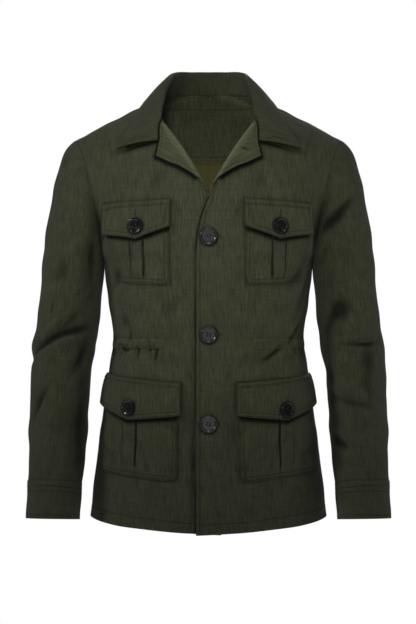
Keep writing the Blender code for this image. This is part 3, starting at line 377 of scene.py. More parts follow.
def beside(points: Array, line: Array, radius: float) -> Array:
    """Painted shadow below a line of an upper cloth's edge: one at the line, fading to nothing over
    about two radii.
    """
    length, margin = reach(line)[-1], 0.02
    weights = np.array([1.0, 0.35, 1.0]) / radius
    near = (points > line.min(axis=0) - margin) & (points < line.max(axis=0) + margin)
    near = near.all(axis=1)
    nearest = np.full(int(near.sum()), np.inf)
    for spot in along(line, np.linspace(0, length, int(length / 0.0008) + 2)):
        nearest = np.minimum(nearest, (((points[near] - spot) * weights) ** 2).sum(axis=1))
    shade = np.zeros(len(points))
    shade[near] = np.minimum(1.0, 1.5 * np.exp(-nearest))
    return shade


def unit(vectors: Array) -> Array:
    """Vectors scaled to length one, singly or as rows of an array."""
    array = np.asarray(vectors, float)
    return array / np.maximum(np.linalg.norm(array, axis=-1, keepdims=True), 1e-12)


def reach(points: Array) -> Array:
    """Distance along a polyline at each of its points."""
    return np.concatenate([[0.0], np.cumsum(np.linalg.norm(np.diff(points, axis=0), axis=1))])


def reaches(lines: Array) -> Array:
    """Distance along each of many polylines, which are rows of one array."""
    steps = np.linalg.norm(np.diff(lines, axis=1), axis=2)
    return np.concatenate([np.zeros((len(lines), 1)), np.cumsum(steps, axis=1)], axis=1)


def read(far: Array, wanted: Array, values: Array) -> Array:
    """Vectors known at rising distances, read at the wanted ones."""
    return np.stack([np.interp(wanted, far, values[:, i]) for i in range(3)], axis=-1)


def along(points: Array, distances: Array) -> Array:
    """Points at given distances along a polyline."""
    return read(reach(points), distances, points)


class Rows:
    """A table of named rows, read at any row position by a smooth curve through each column."""

    def __init__(self, rows: Sequence[tuple]) -> None:
        """Reads the table and works out a slope for each value that never overshoots."""
        self.names = [row[0] for row in rows]
        self.values = np.array([row[1:] for row in rows], float)
        steps = np.diff(self.values, axis=0)
        before, after = steps[:-1], steps[1:]
        total = np.where(np.abs(before + after) < 1e-12, 1.0, before + after)
        inner = np.where(before * after > 0, 2 * before * after / total, 0.0)
        self.slopes = np.vstack([steps[:1], inner, steps[-1:]])
        self.top = float(len(rows) - 1)

    def at(self, v: Array) -> Array:
        """The columns at row positions, where whole numbers are the table's rows."""
        v = np.atleast_1d(np.asarray(v, float))
        low = np.clip(np.floor(v), 0, self.top - 1).astype(int)
        t = (v - low)[:, None]
        return ((1 + 2 * t) * (1 - t) ** 2 * self.values[low]
                + t * (1 - t) ** 2 * self.slopes[low]
                + t * t * (3 - 2 * t) * self.values[low + 1]
                + t * t * (t - 1) * self.slopes[low + 1])

    def index(self, name: str) -> float:
        """The row position of a named row."""
        return float(self.names.index(name))


class Panel:
    """One side of the body: rows of cloth from an inner edge to a side seam or armhole."""

    def __init__(self, rows: Sequence[tuple], gathers: Sequence[Gather],
                 creases: Sequence[Crease], side: Side = Side.LEFT, drop: float = 0.0,
                 front: bool = True) -> None:
        """Keeps the panel's table, its gathers and creases, and how far it lies under."""
        self.rows = Rows(rows)
        self.gathers, self.creases = gathers, creases
        self.side, self.drop, self.front = side, drop, front
        heights = np.linspace(0, self.rows.top, 600)
        self.lookup = (heights, self.rows.at(heights)[:, 2])
        self.chest: Optional[BVHTree] = None

    def columns(self, v: Array) -> Array:
        """The table's columns at row positions, with the under front set back."""
        values = self.rows.at(v)
        values[:, 1] += self.drop * held((-values[:, 2] - 0.090) / 0.040)
        return values

    def curves(self, v: Array, count: int = 61) -> Array:
        """The outside curve of each row as close points, one row of points for each v."""
        values = self.columns(v)
        start, end, bow = values[:, 0:3], values[:, 3:6], values[:, 6:7]
        chord = end - start
        lead = chord * np.array([SECTION_FULLNESS, 0.0, 1 / 3])
        arrive = chord * np.array([0.0, SECTION_FULLNESS, 1 / 3])
        first = (start + (1 - bow) * chord / 3 + bow * lead)[:, None]
        second = (end - (1 - bow) * chord / 3 - bow * arrive)[:, None]
        t = np.linspace(0, 1, count)[None, :, None]
        return bezier(start[:, None], first, second, end[:, None], t)

    def width(self, v: Array) -> Array:
        """The length of each row along the cloth."""
        return reaches(self.curves(v))[:, -1]

    def place(self, v: Array, distance: Array) -> Array:
        """Points of the plain outside face at distances from each row's inner end."""
        curve = self.curves(v)
        far = reaches(curve)
        want = np.clip(distance, 0.0, far[:, -1])
        low = np.clip((far <= want[:, None]).sum(axis=1) - 1, 0, curve.shape[1] - 2)
        pick = np.arange(len(curve))
        t = ((want - far[pick, low]) / (far[pick, low + 1] - far[pick, low]))[:, None]
        return curve[pick, low] * (1 - t) + curve[pick, low + 1] * t

    def base(self, v: Array, distance: Array, creased: bool = True) -> tuple[Array, Array]:
        """The outside face and its outward normals, in the left half's own x.

        Args:
            v: Row positions.
            distance: Distances along the cloth from each row's inner end.
            creased: Whether the creases and gathers are pressed in.

        Returns:
            Points and normals, one row for each place.
        """
        v = np.asarray(v, float)
        whole = self.width(v)
        distance = np.clip(distance, 0.0, whole)
        step = 0.0015
        point = self.place(v, distance)
        ahead = self.place(v, np.minimum(distance + step, whole))
        behind = self.place(v, np.maximum(distance - step, 0.0))
        up = (self.place(np.minimum(v + 0.04, self.rows.top), distance)
              - self.place(np.maximum(v - 0.04, 0.0), distance))
        normal = unit(np.cross(ahead - behind, up)) * (1 if self.front else -1)
        sunk = ARMHOLE_DENT * bell(whole - distance, 0.014)
        sunk = sunk * bell(point[:, 2] + 0.175, 0.055) * (v > self.rows.index("armpit"))
        point = point - normal * sunk[:, None]
        if creased:
            point = point - normal * self.pressing(v, distance)[:, None]
        return point, normal

    def pressing(self, v: Array, distance: Array) -> Array:
        """How deep the creases, gathers and casing lie at places on the panel."""
        whole, z = self.width(v), self.place(v, distance)[:, 2]
        across = distance + self.columns(v)[:, 0] if self.front else distance
        depth = pressed(self.creases, across, z) - self.casing(across, z)
        for gather in self.gathers:
            depth = depth + gather.press(whole - distance, z)
        return depth * held(np.minimum(whole - distance, distance + 0.010) / 0.010)

    def casing(self, across: Array, z: Array) -> Array:
        """How far the drawstring casing swells out between its two stitch lines."""
        middle, half = sum(CASING) / 2, (CASING[1] - CASING[0]) / 2
        swell = 0.0016 * np.clip(1.0 - ((z - middle) / half) ** 2, 0.0, None) ** 0.5
        groove = sum(bell(z - line, 0.0018) for line in CASING) * 0.0012
        start = CASING_START if self.front else -1.0
        return (swell - groove) * held((across - start) / 0.003)

    def height(self, z: Array) -> Array:
        """Row positions whose inner ends are at heights z."""
        return np.interp(z, self.lookup[1], self.lookup[0])

    def spots(self, cloth: Array, z: Array, lift: Array = 0.0) -> tuple[Array, Array]:
        """Places lifted off the panel, by distance from the centre line and by height.

        Args:
            cloth: Distances along the cloth from the centre line.
            z: Heights at the panel's inner edge.
            lift: Distances out from the cloth.

        Returns:
            Points and normals on the panel's own side.
        """
        v = self.height(np.ravel(z))
        point, normal = self.base(v, np.ravel(cloth) - self.columns(v)[:, 0])
        point = point + normal * np.ravel(lift)[:, None]
        return point * self.side.mirror, normal * self.side.mirror

    def ground(self, points: Array, normal: Array) -> tuple[Array, Array]:
        """The outside face and its normals straight below points that lie over the chest."""
        if self.chest is None:
            curves = self.curves(np.arange(11.0, self.rows.top + 0.01, 0.25), 25)
            self.chest = BVHTree.FromPolygons(curves.reshape(-1, 3).tolist(),
                                              grid_faces(len(curves), 25))
        found, faces = [], []
        for point in points:
            start, way = Vector(point + normal * 0.05), Vector(-normal)
            hit, face, _, _ = self.chest.ray_cast(start, way, 0.12)
            face = normal if hit is None else np.array(face)
            found.append(point if hit is None else np.array(hit))
            faces.append(face if face @ normal > 0 else -face)
        return np.array(found), np.array(faces)

    def lapel(self, v: float) -> tuple[list, list]:
        """The folded edge of one row, from the lapel's free edge back to the roll line.

        Args:
            v: Row position.

        Returns:
            Marks below zero that rise towards the roll line, and their points.
        """
        top, r = self.rows.top, FOLD_RADIUS
        *_, angle, width = self.columns(v)[0]
        turn = math.radians(angle)
        if turn < 0.02:
            return [], []
        if v >= self.rows.index("roll_high"):
            width = float(np.interp(v, np.arange(top + 1), self.rows.values[:, 8]))
        point, normal = (array[0] for array in self.base([v], [0.0], False))
        run = (self.columns(min(v + 0.1, top)) - self.columns(max(v - 0.1, 0.0)))[0, :3]
        across = unit(np.cross(run, normal))
        across = across if across[0] < 0 else -across
        marks, points = [], []
        for i in range(1, FOLD_STEPS + 1):
            angle = turn * i / FOLD_STEPS
            marks.append(-i / FOLD_STEPS)
            points.append(point + r * (math.sin(angle) * across
                                       + (1 - math.cos(angle)) * normal))
        flat = width - r - FACING_IN - FACING
        if flat > 0.0005:
            shares = np.arange(1, LAPEL_STEPS + 1) / LAPEL_STEPS
            under, up = self.ground(point - np.outer(shares, across) * flat, normal)
            lift = 2 * r + (LAPEL_REST - 2 * r) * shares ** 0.8 * min(1.0, flat / 0.02)
            lift = lift - 0.0010 * np.sin(math.pi * shares) * min(1.0, flat / 0.02)
            marks += list(-1 - shares)
            points += list(under + up * lift[:, None])
        return marks[::-1], points[::-1]


def bezier(start: Array, one: Array, two: Array, end: Array, t: Array) -> Array:
    """A cubic curve between two ends, led by two handles."""
    return ((1 - t) ** 3 * start + 3 * t * (1 - t) ** 2 * one + 3 * t * t * (1 - t) * two
            + t ** 3 * end)


@dataclass
class Sheet:
    """Triangles between rows of points whose marks rise from end to end."""

    rows: list[tuple[list, Array]]
    heights: Array

    def __post_init__(self) -> None:
        """Joins each row to the next one."""
        self.points = np.vstack([points for _, points in self.rows])
        self.marks = np.concatenate([marks for marks, _ in self.rows])
        counts = [len(marks) for marks, _ in self.rows]
        self.starts = [0] + np.cumsum(counts)[:-1].tolist()
        self.ends = (np.cumsum(counts) - 1).tolist()
        self.faces: list[Face] = []
        for row in range(len(counts) - 1):
            self.join(row)

    def join(self, row: int) -> None:
        """Fills the strip between a row and the next one, where marks may begin or end."""
        low, high = self.rows[row][0], self.rows[row + 1][0]
        a, b, a_end, b_end = 0, 0, len(low) - 1, len(high) - 1
        a0, b0 = self.starts[row:row + 2]
        while a < a_end or b < b_end:
            if a < a_end and b < b_end and abs(low[a + 1] - high[b + 1]) < 1e-9:
                self.faces.append((a0 + a, a0 + a + 1, b0 + b + 1, b0 + b))
                a, b = a + 1, b + 1
            elif b == b_end or (a < a_end and low[a + 1] <= high[b + 1]):
                self.faces.append((a0 + a, a0 + a + 1, b0 + b))
                a += 1
            else:
                self.faces.append((a0 + a, b0 + b + 1, b0 + b))
                b += 1

    def reach(self, from_end: bool = False) -> Array:
        """Distance of each point along its row from the row's first or last point."""
        found = [reach(points) for _, points in self.rows]
        return np.concatenate([far[-1] - far if from_end else far for far in found])

    def firsts(self, passes: Callable[[float], bool]) -> Array:
        """The first points of the rows whose first marks pass a test."""
        return np.array([points[0] for marks, points in self.rows if passes(marks[0])])


def triangles(faces: Sequence[Face]) -> Array:
    """The corners of all triangles in a mesh of triangles and quads."""
    return np.array([face[:3] for face in faces]
                    + [(face[0], face[2], face[3]) for face in faces if len(face) == 4])


def face_normals(points: Array, faces: Sequence[Face], first: int, way: Array) -> Array:
    """Area-weighted point normals of a sheet, turned so that one of them looks a given way."""
    tri = triangles(faces)
    cross = np.cross(points[tri[:, 1]] - points[tri[:, 0]], points[tri[:, 2]] - points[tri[:, 0]])
    normals = np.zeros_like(points)
    for i in range(3):
        np.add.at(normals, tri[:, i], cross)
    return unit(normals) * (-1 if normals[first] @ np.array(way) < 0 else 1)


def relaxed(points: Array, faces: Sequence[Face], free: Array) -> Array:
    """Points with the free ones inside the sheet drawn towards their neighbours, step by step."""
    pairs = np.array([pair for face in faces for pair in zip(face, face[1:] + face[:1])])
    pairs, uses = np.unique(np.sort(pairs, axis=1), axis=0, return_counts=True)
    free = free.copy()
    free[pairs[uses == 1].ravel()] = False
    both = np.vstack([pairs, pairs[:, ::-1]])
    count = np.bincount(both[:, 0], minlength=len(points))[:, None]
    for _ in range(12):
        total = np.zeros_like(points)
        np.add.at(total, both[:, 0], points[both[:, 1]])
        points = np.where(free[:, None], points * 0.4 + total / count * 0.6, points)
    return points


def grid_faces(rows: int, columns: int, closed: bool = False) -> list[Face]:
    """Quads of a grid of points, joined round into a tube where it is closed."""
    last = columns if closed else columns - 1
    return [(r * columns + c, r * columns + (c + 1) % columns,
             (r + 1) * columns + (c + 1) % columns, (r + 1) * columns + c)
            for r in range(rows - 1) for c in range(last)]


# ---- finishes
class Nodes:
    """Makes and wires shader nodes in one tree."""

    def __init__(self, tree: bpy.types.NodeTree) -> None:
        """Keeps the tree and clears it."""
        self.tree = tree
        tree.nodes.clear()

    def add(self, kind: str, **settings: object) -> bpy.types.Node:
        """A node of one kind with its settings, set out in rows of nine."""
        count = len(self.tree.nodes)
        node = self.tree.nodes.new(kind)
        node.location = (220 * (count % 9), -260 * (count // 9))
        for name, value in settings.items():
            setattr(node, name, value)
        return node

    def fill(self, node: bpy.types.Node, values: dict[object, object]) -> None:
        """Inputs of a node, each given a link or a fixed value."""
        for name, value in values.items():
            if isinstance(value, Socket):
                self.tree.links.new(value, node.inputs[name])
            else:
                node.inputs[name].default_value = value

    def math(self, operation: str, *values: object) -> Socket:
        """The result of a Math node."""
        node = self.add("ShaderNodeMath", operation=operation)
        self.fill(node, dict(enumerate(values)))
        return node.outputs[0]

    def times(self, first: object, second: object) -> Socket:
        """Two values multiplied."""
        return self.math("MULTIPLY", first, second)

    def plus(self, *values: object) -> Socket:
        """The sum of two or more values."""
        total = values[0]
        for value in values[1:]:
            total = self.math("ADD", total, value)
        return total

    def noise(self, vector: Socket, scale: Sequence[float], detail: float,
              offset: float) -> Socket:
        """A noise stretched by its own scale in each direction."""
        place = self.add("ShaderNodeMapping")
        self.fill(place, {"Vector": vector, "Scale": tuple(scale),
                          "Location": (offset, offset * 0.37, offset * 0.71)})
        node = self.add("ShaderNodeTexNoise")
        self.fill(node, {"Vector": place.outputs[0], "Scale": 1.0, "Detail": detail,
                         "Roughness": 0.6})
        return node.outputs["Fac"]

    def grain(self, scale: Sequence[float], detail: float, offset: float) -> Socket:
        """A noise that runs through the solid itself."""
        place = self.add("ShaderNodeTexCoord")
        return self.noise(place.outputs["Object"], scale, detail, offset)

    def spread(self, value: object, low: float, high: float) -> Socket:
        """A value carried from low..high to 0..1, held there."""
        node = self.add("ShaderNodeMapRange", clamp=True)
        self.fill(node, {"Value": value, "From Min": low, "From Max": high})
        return node.outputs["Result"]

    def blend(self, share: object, first: object, second: object, kind: str = "MIX") -> Socket:
        """Two colours mixed."""
        node = self.add("ShaderNodeMix", data_type="RGBA", blend_type=kind)
        self.fill(node, {0: share, 6: first, 7: second})
        return node.outputs[2]


class SlubCloth:
    """The shader group of the slub weave, with its streaks, threads and sewn grooves, and with
    painted shade in the grooves, along the rim and in the folds.
    """

    NAME = "Slub cloth"
    INPUTS = ("Cloth", "Edge", "Hem", "Fold", "Dark", "Light", "Streaks", "Weave Height",
              "Edge Line", "Inner Line", "Hem Line", "Groove", "Rim")
    OUTPUTS = ("Color", "Roughness", "Normal")
    KINDS = {"Cloth": "Vector", "Normal": "Vector", "Dark": "Color", "Light": "Color",
             "Color": "Color"}
    YARNS = (  # noise scale across, scale up, detail, offset, weight
        (820.0, 40.0, 3.0, 3.1, 0.50),
        (36.0, 900.0, 3.0, 11.7, 0.22),
        (1500.0, 300.0, 1.0, 5.5, 0.11),
        (300.0, 1500.0, 1.0, 8.5, 0.11),
        (480.0, 60.0, 1.0, 23.0, 0.16),
        (20.0, 16.0, 2.0, 17.0, 0.06),
    )
    THREAD_PITCH = 0.0011
    GROOVE_WIDTH = 0.0009
    GROOVE_DEPTH = 0.00045
    FOLD_SHADE = 0.95

    @classmethod
    def group(cls) -> bpy.types.NodeTree:
        """The group, built on first use.

        Returns:
            A shader group with the outputs Color, Roughness and Normal.
        """
        found = bpy.data.node_groups.get(cls.NAME)
        if found is not None:
            return found
        tree = bpy.data.node_groups.new(cls.NAME, "ShaderNodeTree")
        for way, names in (("INPUT", cls.INPUTS), ("OUTPUT", cls.OUTPUTS)):
            for name in names:
                kind = "NodeSocket" + cls.KINDS.get(name, "Float")
                tree.interface.new_socket(name, in_out=way, socket_type=kind)
        nodes = Nodes(tree)
        given = nodes.add("NodeGroupInput").outputs
        yarns = [nodes.times(nodes.noise(given["Cloth"], (wide, high, 1.0), detail, offset), weight)
                 for wide, high, detail, offset, weight in cls.YARNS]
        total = nodes.plus(*yarns)
        tone = nodes.plus(nodes.spread(total, 0.40, 0.74), -0.5)
        tone = nodes.plus(0.5, nodes.times(tone, given["Streaks"]))
        # Stitch grooves, the pleat's sides and the sheet's rim are darkened in colour: painted
        # shade.
        lines = (("Edge", "Edge Line"), ("Edge", "Inner Line"), ("Hem", "Hem Line"))
        grooves = nodes.plus(*[cls.groove(nodes, given[measure], given[line])
                               for measure, line in lines])
        grooves = nodes.math("MINIMUM", nodes.times(grooves, given["Groove"]), 1.0)
        rim = nodes.times(cls.groove(nodes, given["Edge"], 0.0), given["Rim"])
        shade = nodes.math("MAXIMUM", nodes.times(grooves, 0.5), rim)
        colour = nodes.blend(tone, given["Dark"], given["Light"])
        colour = nodes.blend(shade, colour, given["Dark"])
        # Fold multiplies the colour: painted shade where it is above zero, painted highlight where
        # it is below zero.
        depth = nodes.plus(1.0, nodes.times(given["Fold"], -cls.FOLD_SHADE))
        lift = nodes.plus(cls.threads(nodes, given["Cloth"]), nodes.times(total, 2.2))
        lift = nodes.times(lift, given["Weave Height"])
        bump = nodes.add("ShaderNodeBump")
        nodes.fill(bump, {"Strength": 1.0, "Distance": 1.0, "Height": nodes.plus(
            lift, nodes.times(grooves, -cls.GROOVE_DEPTH))})
        nodes.fill(nodes.add("NodeGroupOutput"), {
            "Color": nodes.blend(1.0, colour, depth, "MULTIPLY"),
            "Roughness": nodes.plus(0.78, nodes.times(total, 0.18)),
            "Normal": bump.outputs[0]})
        return tree

    @classmethod
    def groove(cls, nodes: Nodes, measure: Socket, line: object) -> Socket:
        """One where a stitch line presses the cloth down, fading to nothing beside it."""
        off = nodes.math("DIVIDE", nodes.math("SUBTRACT", measure, line), cls.GROOVE_WIDTH)
        return nodes.math("EXPONENT", nodes.times(nodes.times(off, off), -1.0))

    @classmethod
    def threads(cls, nodes: Nodes, cloth: Socket) -> Socket:
        """The plain weave's threads, crossing over and under."""
        split = nodes.add("ShaderNodeSeparateXYZ")
        nodes.fill(split, {0: cloth})
        waves = [nodes.math("SINE", nodes.times(way, 2 * math.pi / cls.THREAD_PITCH))
                 for way in split.outputs[:2]]
        return nodes.times(*waves)


@dataclass(frozen=True)
class Finish:
    """A surface that is built as a material on first use."""

    name: str

    def make(self) -> bpy.types.Material:
        """The material, built on first use."""
        found = bpy.data.materials.get(self.name)
        if found is None:
            found = bpy.data.materials.new(self.name)
            found.use_nodes = True
            nodes = Nodes(found.node_tree)
            shader = nodes.add("ShaderNodeBsdfPrincipled")
            self.wire(nodes, shader)
            nodes.fill(nodes.add("ShaderNodeOutputMaterial"), {"Surface": shader.outputs[0]})
        return found

    def wire(self, nodes: Nodes, shader: bpy.types.Node) -> None:
        """Feeds the shader; each kind of finish has its own way."""
        raise NotImplementedError


@dataclass(frozen=True)
class ClothFinish(Finish):
    """Slub cloth in one shade, with the places of its stitch lines from the edges."""

    dark: Colour
    light: Colour
    streaks: float = 1.0
    weave: float = 0.00006
    edge_line: float = -0.1
    inner_line: float = -0.1
    hem_line: float = -0.1
    # groove and rim set how strongly the grooves and the sheet's rim are darkened with painted
    # shade
    groove: float = 1.0
    rim: float = 0.0
    sheen: float = 0.04

    def wire(self, nodes: Nodes, shader: bpy.types.Node) -> None:
        """Feeds the shader from the slub cloth group, on the piece's own cloth map."""
        cloth = nodes.add("ShaderNodeUVMap", uv_map="Cloth")
        group = nodes.add("ShaderNodeGroup", node_tree=SlubCloth.group())
        for name in MEASURES:
            measure = nodes.add("ShaderNodeAttribute", attribute_name=name)
            nodes.fill(group, {name.capitalize(): measure.outputs["Fac"]})
        nodes.fill(group, {"Cloth": cloth.outputs[0], "Dark": self.dark, "Light": self.light,
                           "Streaks": self.streaks, "Weave Height": self.weave,
                           "Edge Line": self.edge_line, "Inner Line": self.inner_line,
                           "Hem Line": self.hem_line, "Groove": self.groove, "Rim": self.rim})
        made = group.outputs
        nodes.fill(shader, {"Base Color": made["Color"], "Roughness": made["Roughness"],
                            "Normal": made["Normal"], "Sheen Weight": self.sheen,
                            "Sheen Roughness": 0.6, "Specular IOR Level": 0.15})


@dataclass(frozen=True)
class ThreadFinish(Finish):
    """Sewing thread, twisted and a little shiny."""

    colour: Colour
    roughness: float = 0.55

    def wire(self, nodes: Nodes, shader: bpy.types.Node) -> None:
        """Mottles the thread's colour with its own twist."""
        dark = tuple(0.6 * value for value in self.colour[:3]) + (1.0,)
        fuzz = nodes.grain((900.0, 900.0, 900.0), 2.0, 0.0)
        nodes.fill(shader, {"Base Color": nodes.blend(fuzz, dark, self.colour),
                            "Roughness": self.roughness})


@dataclass(frozen=True)
class ButtonFinish(Finish):
    """Polished black button stock, with faint paler veins in it."""

    dark: Colour
    vein: Colour
    roughness: float = 0.16

    def wire(self, nodes: Nodes, shader: bpy.types.Node) -> None:
        """Draws the veins and scuffs the polish."""
        veins = nodes.spread(nodes.grain((160.0, 420.0, 260.0), 3.0, 2.0), 0.56, 0.72)
        scuff = nodes.grain((900.0, 900.0, 900.0), 2.0, 6.0)
        nodes.fill(shader, {"Base Color": nodes.blend(veins, self.dark, self.vein),
                            "Roughness": nodes.plus(self.roughness, nodes.times(scuff, 0.10)),
                            "Coat Weight": 0.6, "Coat Roughness": 0.05})


@dataclass(frozen=True)
class FloorFinish(Finish):
    """Dull, nearly white and very slightly clouded."""

    dark: Colour
    light: Colour

    def wire(self, nodes: Nodes, shader: bpy.types.Node) -> None:
        """Clouds the two whites."""
        cloud = nodes.grain((2.0, 2.0, 2.0), 2.0, 0.0)
        nodes.fill(shader, {"Base Color": nodes.blend(cloud, self.dark, self.light),
                            "Roughness": 0.9})


DARK_OLIVE: Colour = (0.0105, 0.0115, 0.0058, 1.0)
LIGHT_OLIVE: Colour = (0.0575, 0.0618, 0.0345, 1.0)
# rim darkens the edge of each sheet with painted shade; the patch's hem_line of zero darkens the
# pleat's sides with painted shade
PANEL_FINISH = ClothFinish("olive panel cloth", DARK_OLIVE, LIGHT_OLIVE, edge_line=0.0060,
                           hem_line=0.0170, rim=0.7)
SLEEVE_FINISH = ClothFinish("olive sleeve cloth", DARK_OLIVE, LIGHT_OLIVE)
CUFF_FINISH = ClothFinish("olive cuff cloth", DARK_OLIVE, LIGHT_OLIVE, edge_line=0.0100,
                          inner_line=0.0180, hem_line=0.0060)
# The collar's olive is the panel's, a little darker: painted shade.
COLLAR_FINISH = ClothFinish("olive collar cloth", (0.0090, 0.0100, 0.0050, 1.0),
                            (0.0530, 0.0570, 0.0318, 1.0), edge_line=0.0060, rim=0.5)
PATCH_FINISH = ClothFinish("olive pocket cloth", DARK_OLIVE, LIGHT_OLIVE, edge_line=0.0016,
                           inner_line=0.0070, hem_line=0.0, rim=0.4)
FLAP_FINISH = ClothFinish("olive flap cloth", DARK_OLIVE, LIGHT_OLIVE, edge_line=0.0016,
                          inner_line=0.0070, hem_line=0.0095, rim=0.8)
# The facing's olive is the panel's, a little lighter: painted light on the lapels and inside the
# back neck.
FACING_FINISH = ClothFinish("olive facing cloth", (0.0160, 0.0176, 0.0092, 1.0),
                            (0.0690, 0.0745, 0.0405, 1.0), edge_line=0.0055, hem_line=1.0)
LINING_FINISH = ClothFinish("olive lining", (0.042, 0.038, 0.0125, 1.0),
                            (0.078, 0.076, 0.027, 1.0), streaks=0.6, weave=0.00002,
                            edge_line=0.0030, inner_line=0.0065, hem_line=0.0, sheen=0.05)
THREAD_FINISH = ThreadFinish("olive thread", (0.030, 0.032, 0.020, 1.0))
HOLE_THREAD_FINISH = ThreadFinish("black thread", (0.010, 0.010, 0.010, 1.0))
BUTTON_FINISH = ButtonFinish("black button stock", (0.0035, 0.0040, 0.0042, 1.0),
                             (0.026, 0.031, 0.032, 1.0))
FLOOR_FINISH = FloorFinish("pale floor", (0.90, 0.90, 0.90, 1.0), (0.93, 0.93, 0.93, 1.0))


# ---- making pieces
def closed_object(name: str, points: Array, faces: list[Face],
                  finish: Finish) -> bpy.types.Object:
    """A smooth closed mesh as an object of the scene, turned to face out."""
    tri = triangles(faces)
    a, b, c = points[tri[:, 0]], points[tri[:, 1]], points[tri[:, 2]]
    if (a * np.cross(b, c)).sum() < 0:
        faces = [tuple(reversed(face)) for face in faces]
    mesh = bpy.data.meshes.new(name)
    mesh.from_pydata(points.tolist(), [], faces)
    mesh.shade_smooth()
    mesh.materials.append(finish.make())
    made = bpy.data.objects.new(name, mesh)
    bpy.context.collection.objects.link(made)
    return made


def hand_over(made: bpy.types.Object, node: str = "") -> None:
    """Gives a piece to the frame, in place of a solid where one is named."""
    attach(made, "root")
    if node:
        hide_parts(node)
    LOG.info("%s: %d faces", made.name, len(made.data.polygons))


@dataclass
class Shell:
    """A thin closed wall between two copies of one sheet, in place of one solid."""

    node: str
    outer: Array
    inner: Array
    faces: Sequence[Face]
    cloth: tuple[Array, Array]
    edge: Optional[Array] = None
    hem: Optional[Array] = None
    # painted shade at each point, and painted highlight where below zero
    fold: Optional[Array] = None
    wrap: float = 0.0

    def build(self, finish: ClothFinish) -> bpy.types.Object:
        """The wall as an object, with its cloth map, its distances from the edges and its painted
        shade.

        Args:
            finish: The cloth it is made of.

        Returns:
            The new object, facing out and shaded smooth but for its rim.
        """
        count = len(self.outer)
        uses: dict[tuple[int, int], list[tuple[int, int]]] = {}
        for face in self.faces:
            for a, b in zip(face, face[1:] + face[:1]):
                uses.setdefault((min(a, b), max(a, b)), []).append((a, b))
        rims = [pair[0] for pair in uses.values() if len(pair) == 1]
        body = list(self.faces)
        body += [tuple(i + count for i in reversed(face)) for face in self.faces]
        body += [(b, a, a + count, b + count) for a, b in rims]
        points = np.vstack([self.outer, self.inner])
        made = closed_object(self.node + "_cloth", points, body, finish)
        mesh = made.data
        corners = np.zeros(len(mesh.loops), dtype=np.int32)
        mesh.loops.foreach_get("vertex_index", corners)
        flat = np.stack([np.ravel(part) for part in self.cloth], axis=1)[corners % count]
        if self.wrap:
            self.unwrap(mesh, flat)
        mesh.uv_layers.new(name="Cloth").data.foreach_set("uv", flat.ravel())
        for name, usual in MEASURES.items():
            values = getattr(self, name)
            values = np.full(count, usual) if values is None else np.ravel(values)
            slot = mesh.attributes.new(name, "FLOAT", "POINT")
            slot.data.foreach_set("value", np.concatenate([values, values]).astype(np.float32))
        mesh.set_sharp_from_angle(angle=math.radians(55))
        return made

    def unwrap(self, mesh: bpy.types.Mesh, flat: Array) -> None:
        """Carries the map on past the seam of a tube, so that no face spans the whole of it."""
        totals = np.zeros(len(mesh.polygons), dtype=np.int32)
        mesh.polygons.foreach_get("loop_total", totals)
        owner = np.repeat(np.arange(len(totals)), totals)
        widest = np.full(len(totals), -np.inf)
        np.maximum.at(widest, owner, flat[:, 0])
        flat[flat[:, 0] < widest[owner] - self.wrap / 2, 0] += self.wrap


@dataclass(frozen=True)
class Cut:
    """The flat cut of one sheet and how it is held."""

    width: float
    length: float
    area: float
    held: Held = Held.HUNG


def dress(shell: Shell, finish: ClothFinish) -> None:
    """Builds a sheet and gives it to the frame in place of its solid.

    Args:
        shell: The wall to build.
        finish: Its cloth.
    """
    made = shell.build(finish)
    hand_over(made, shell.node)


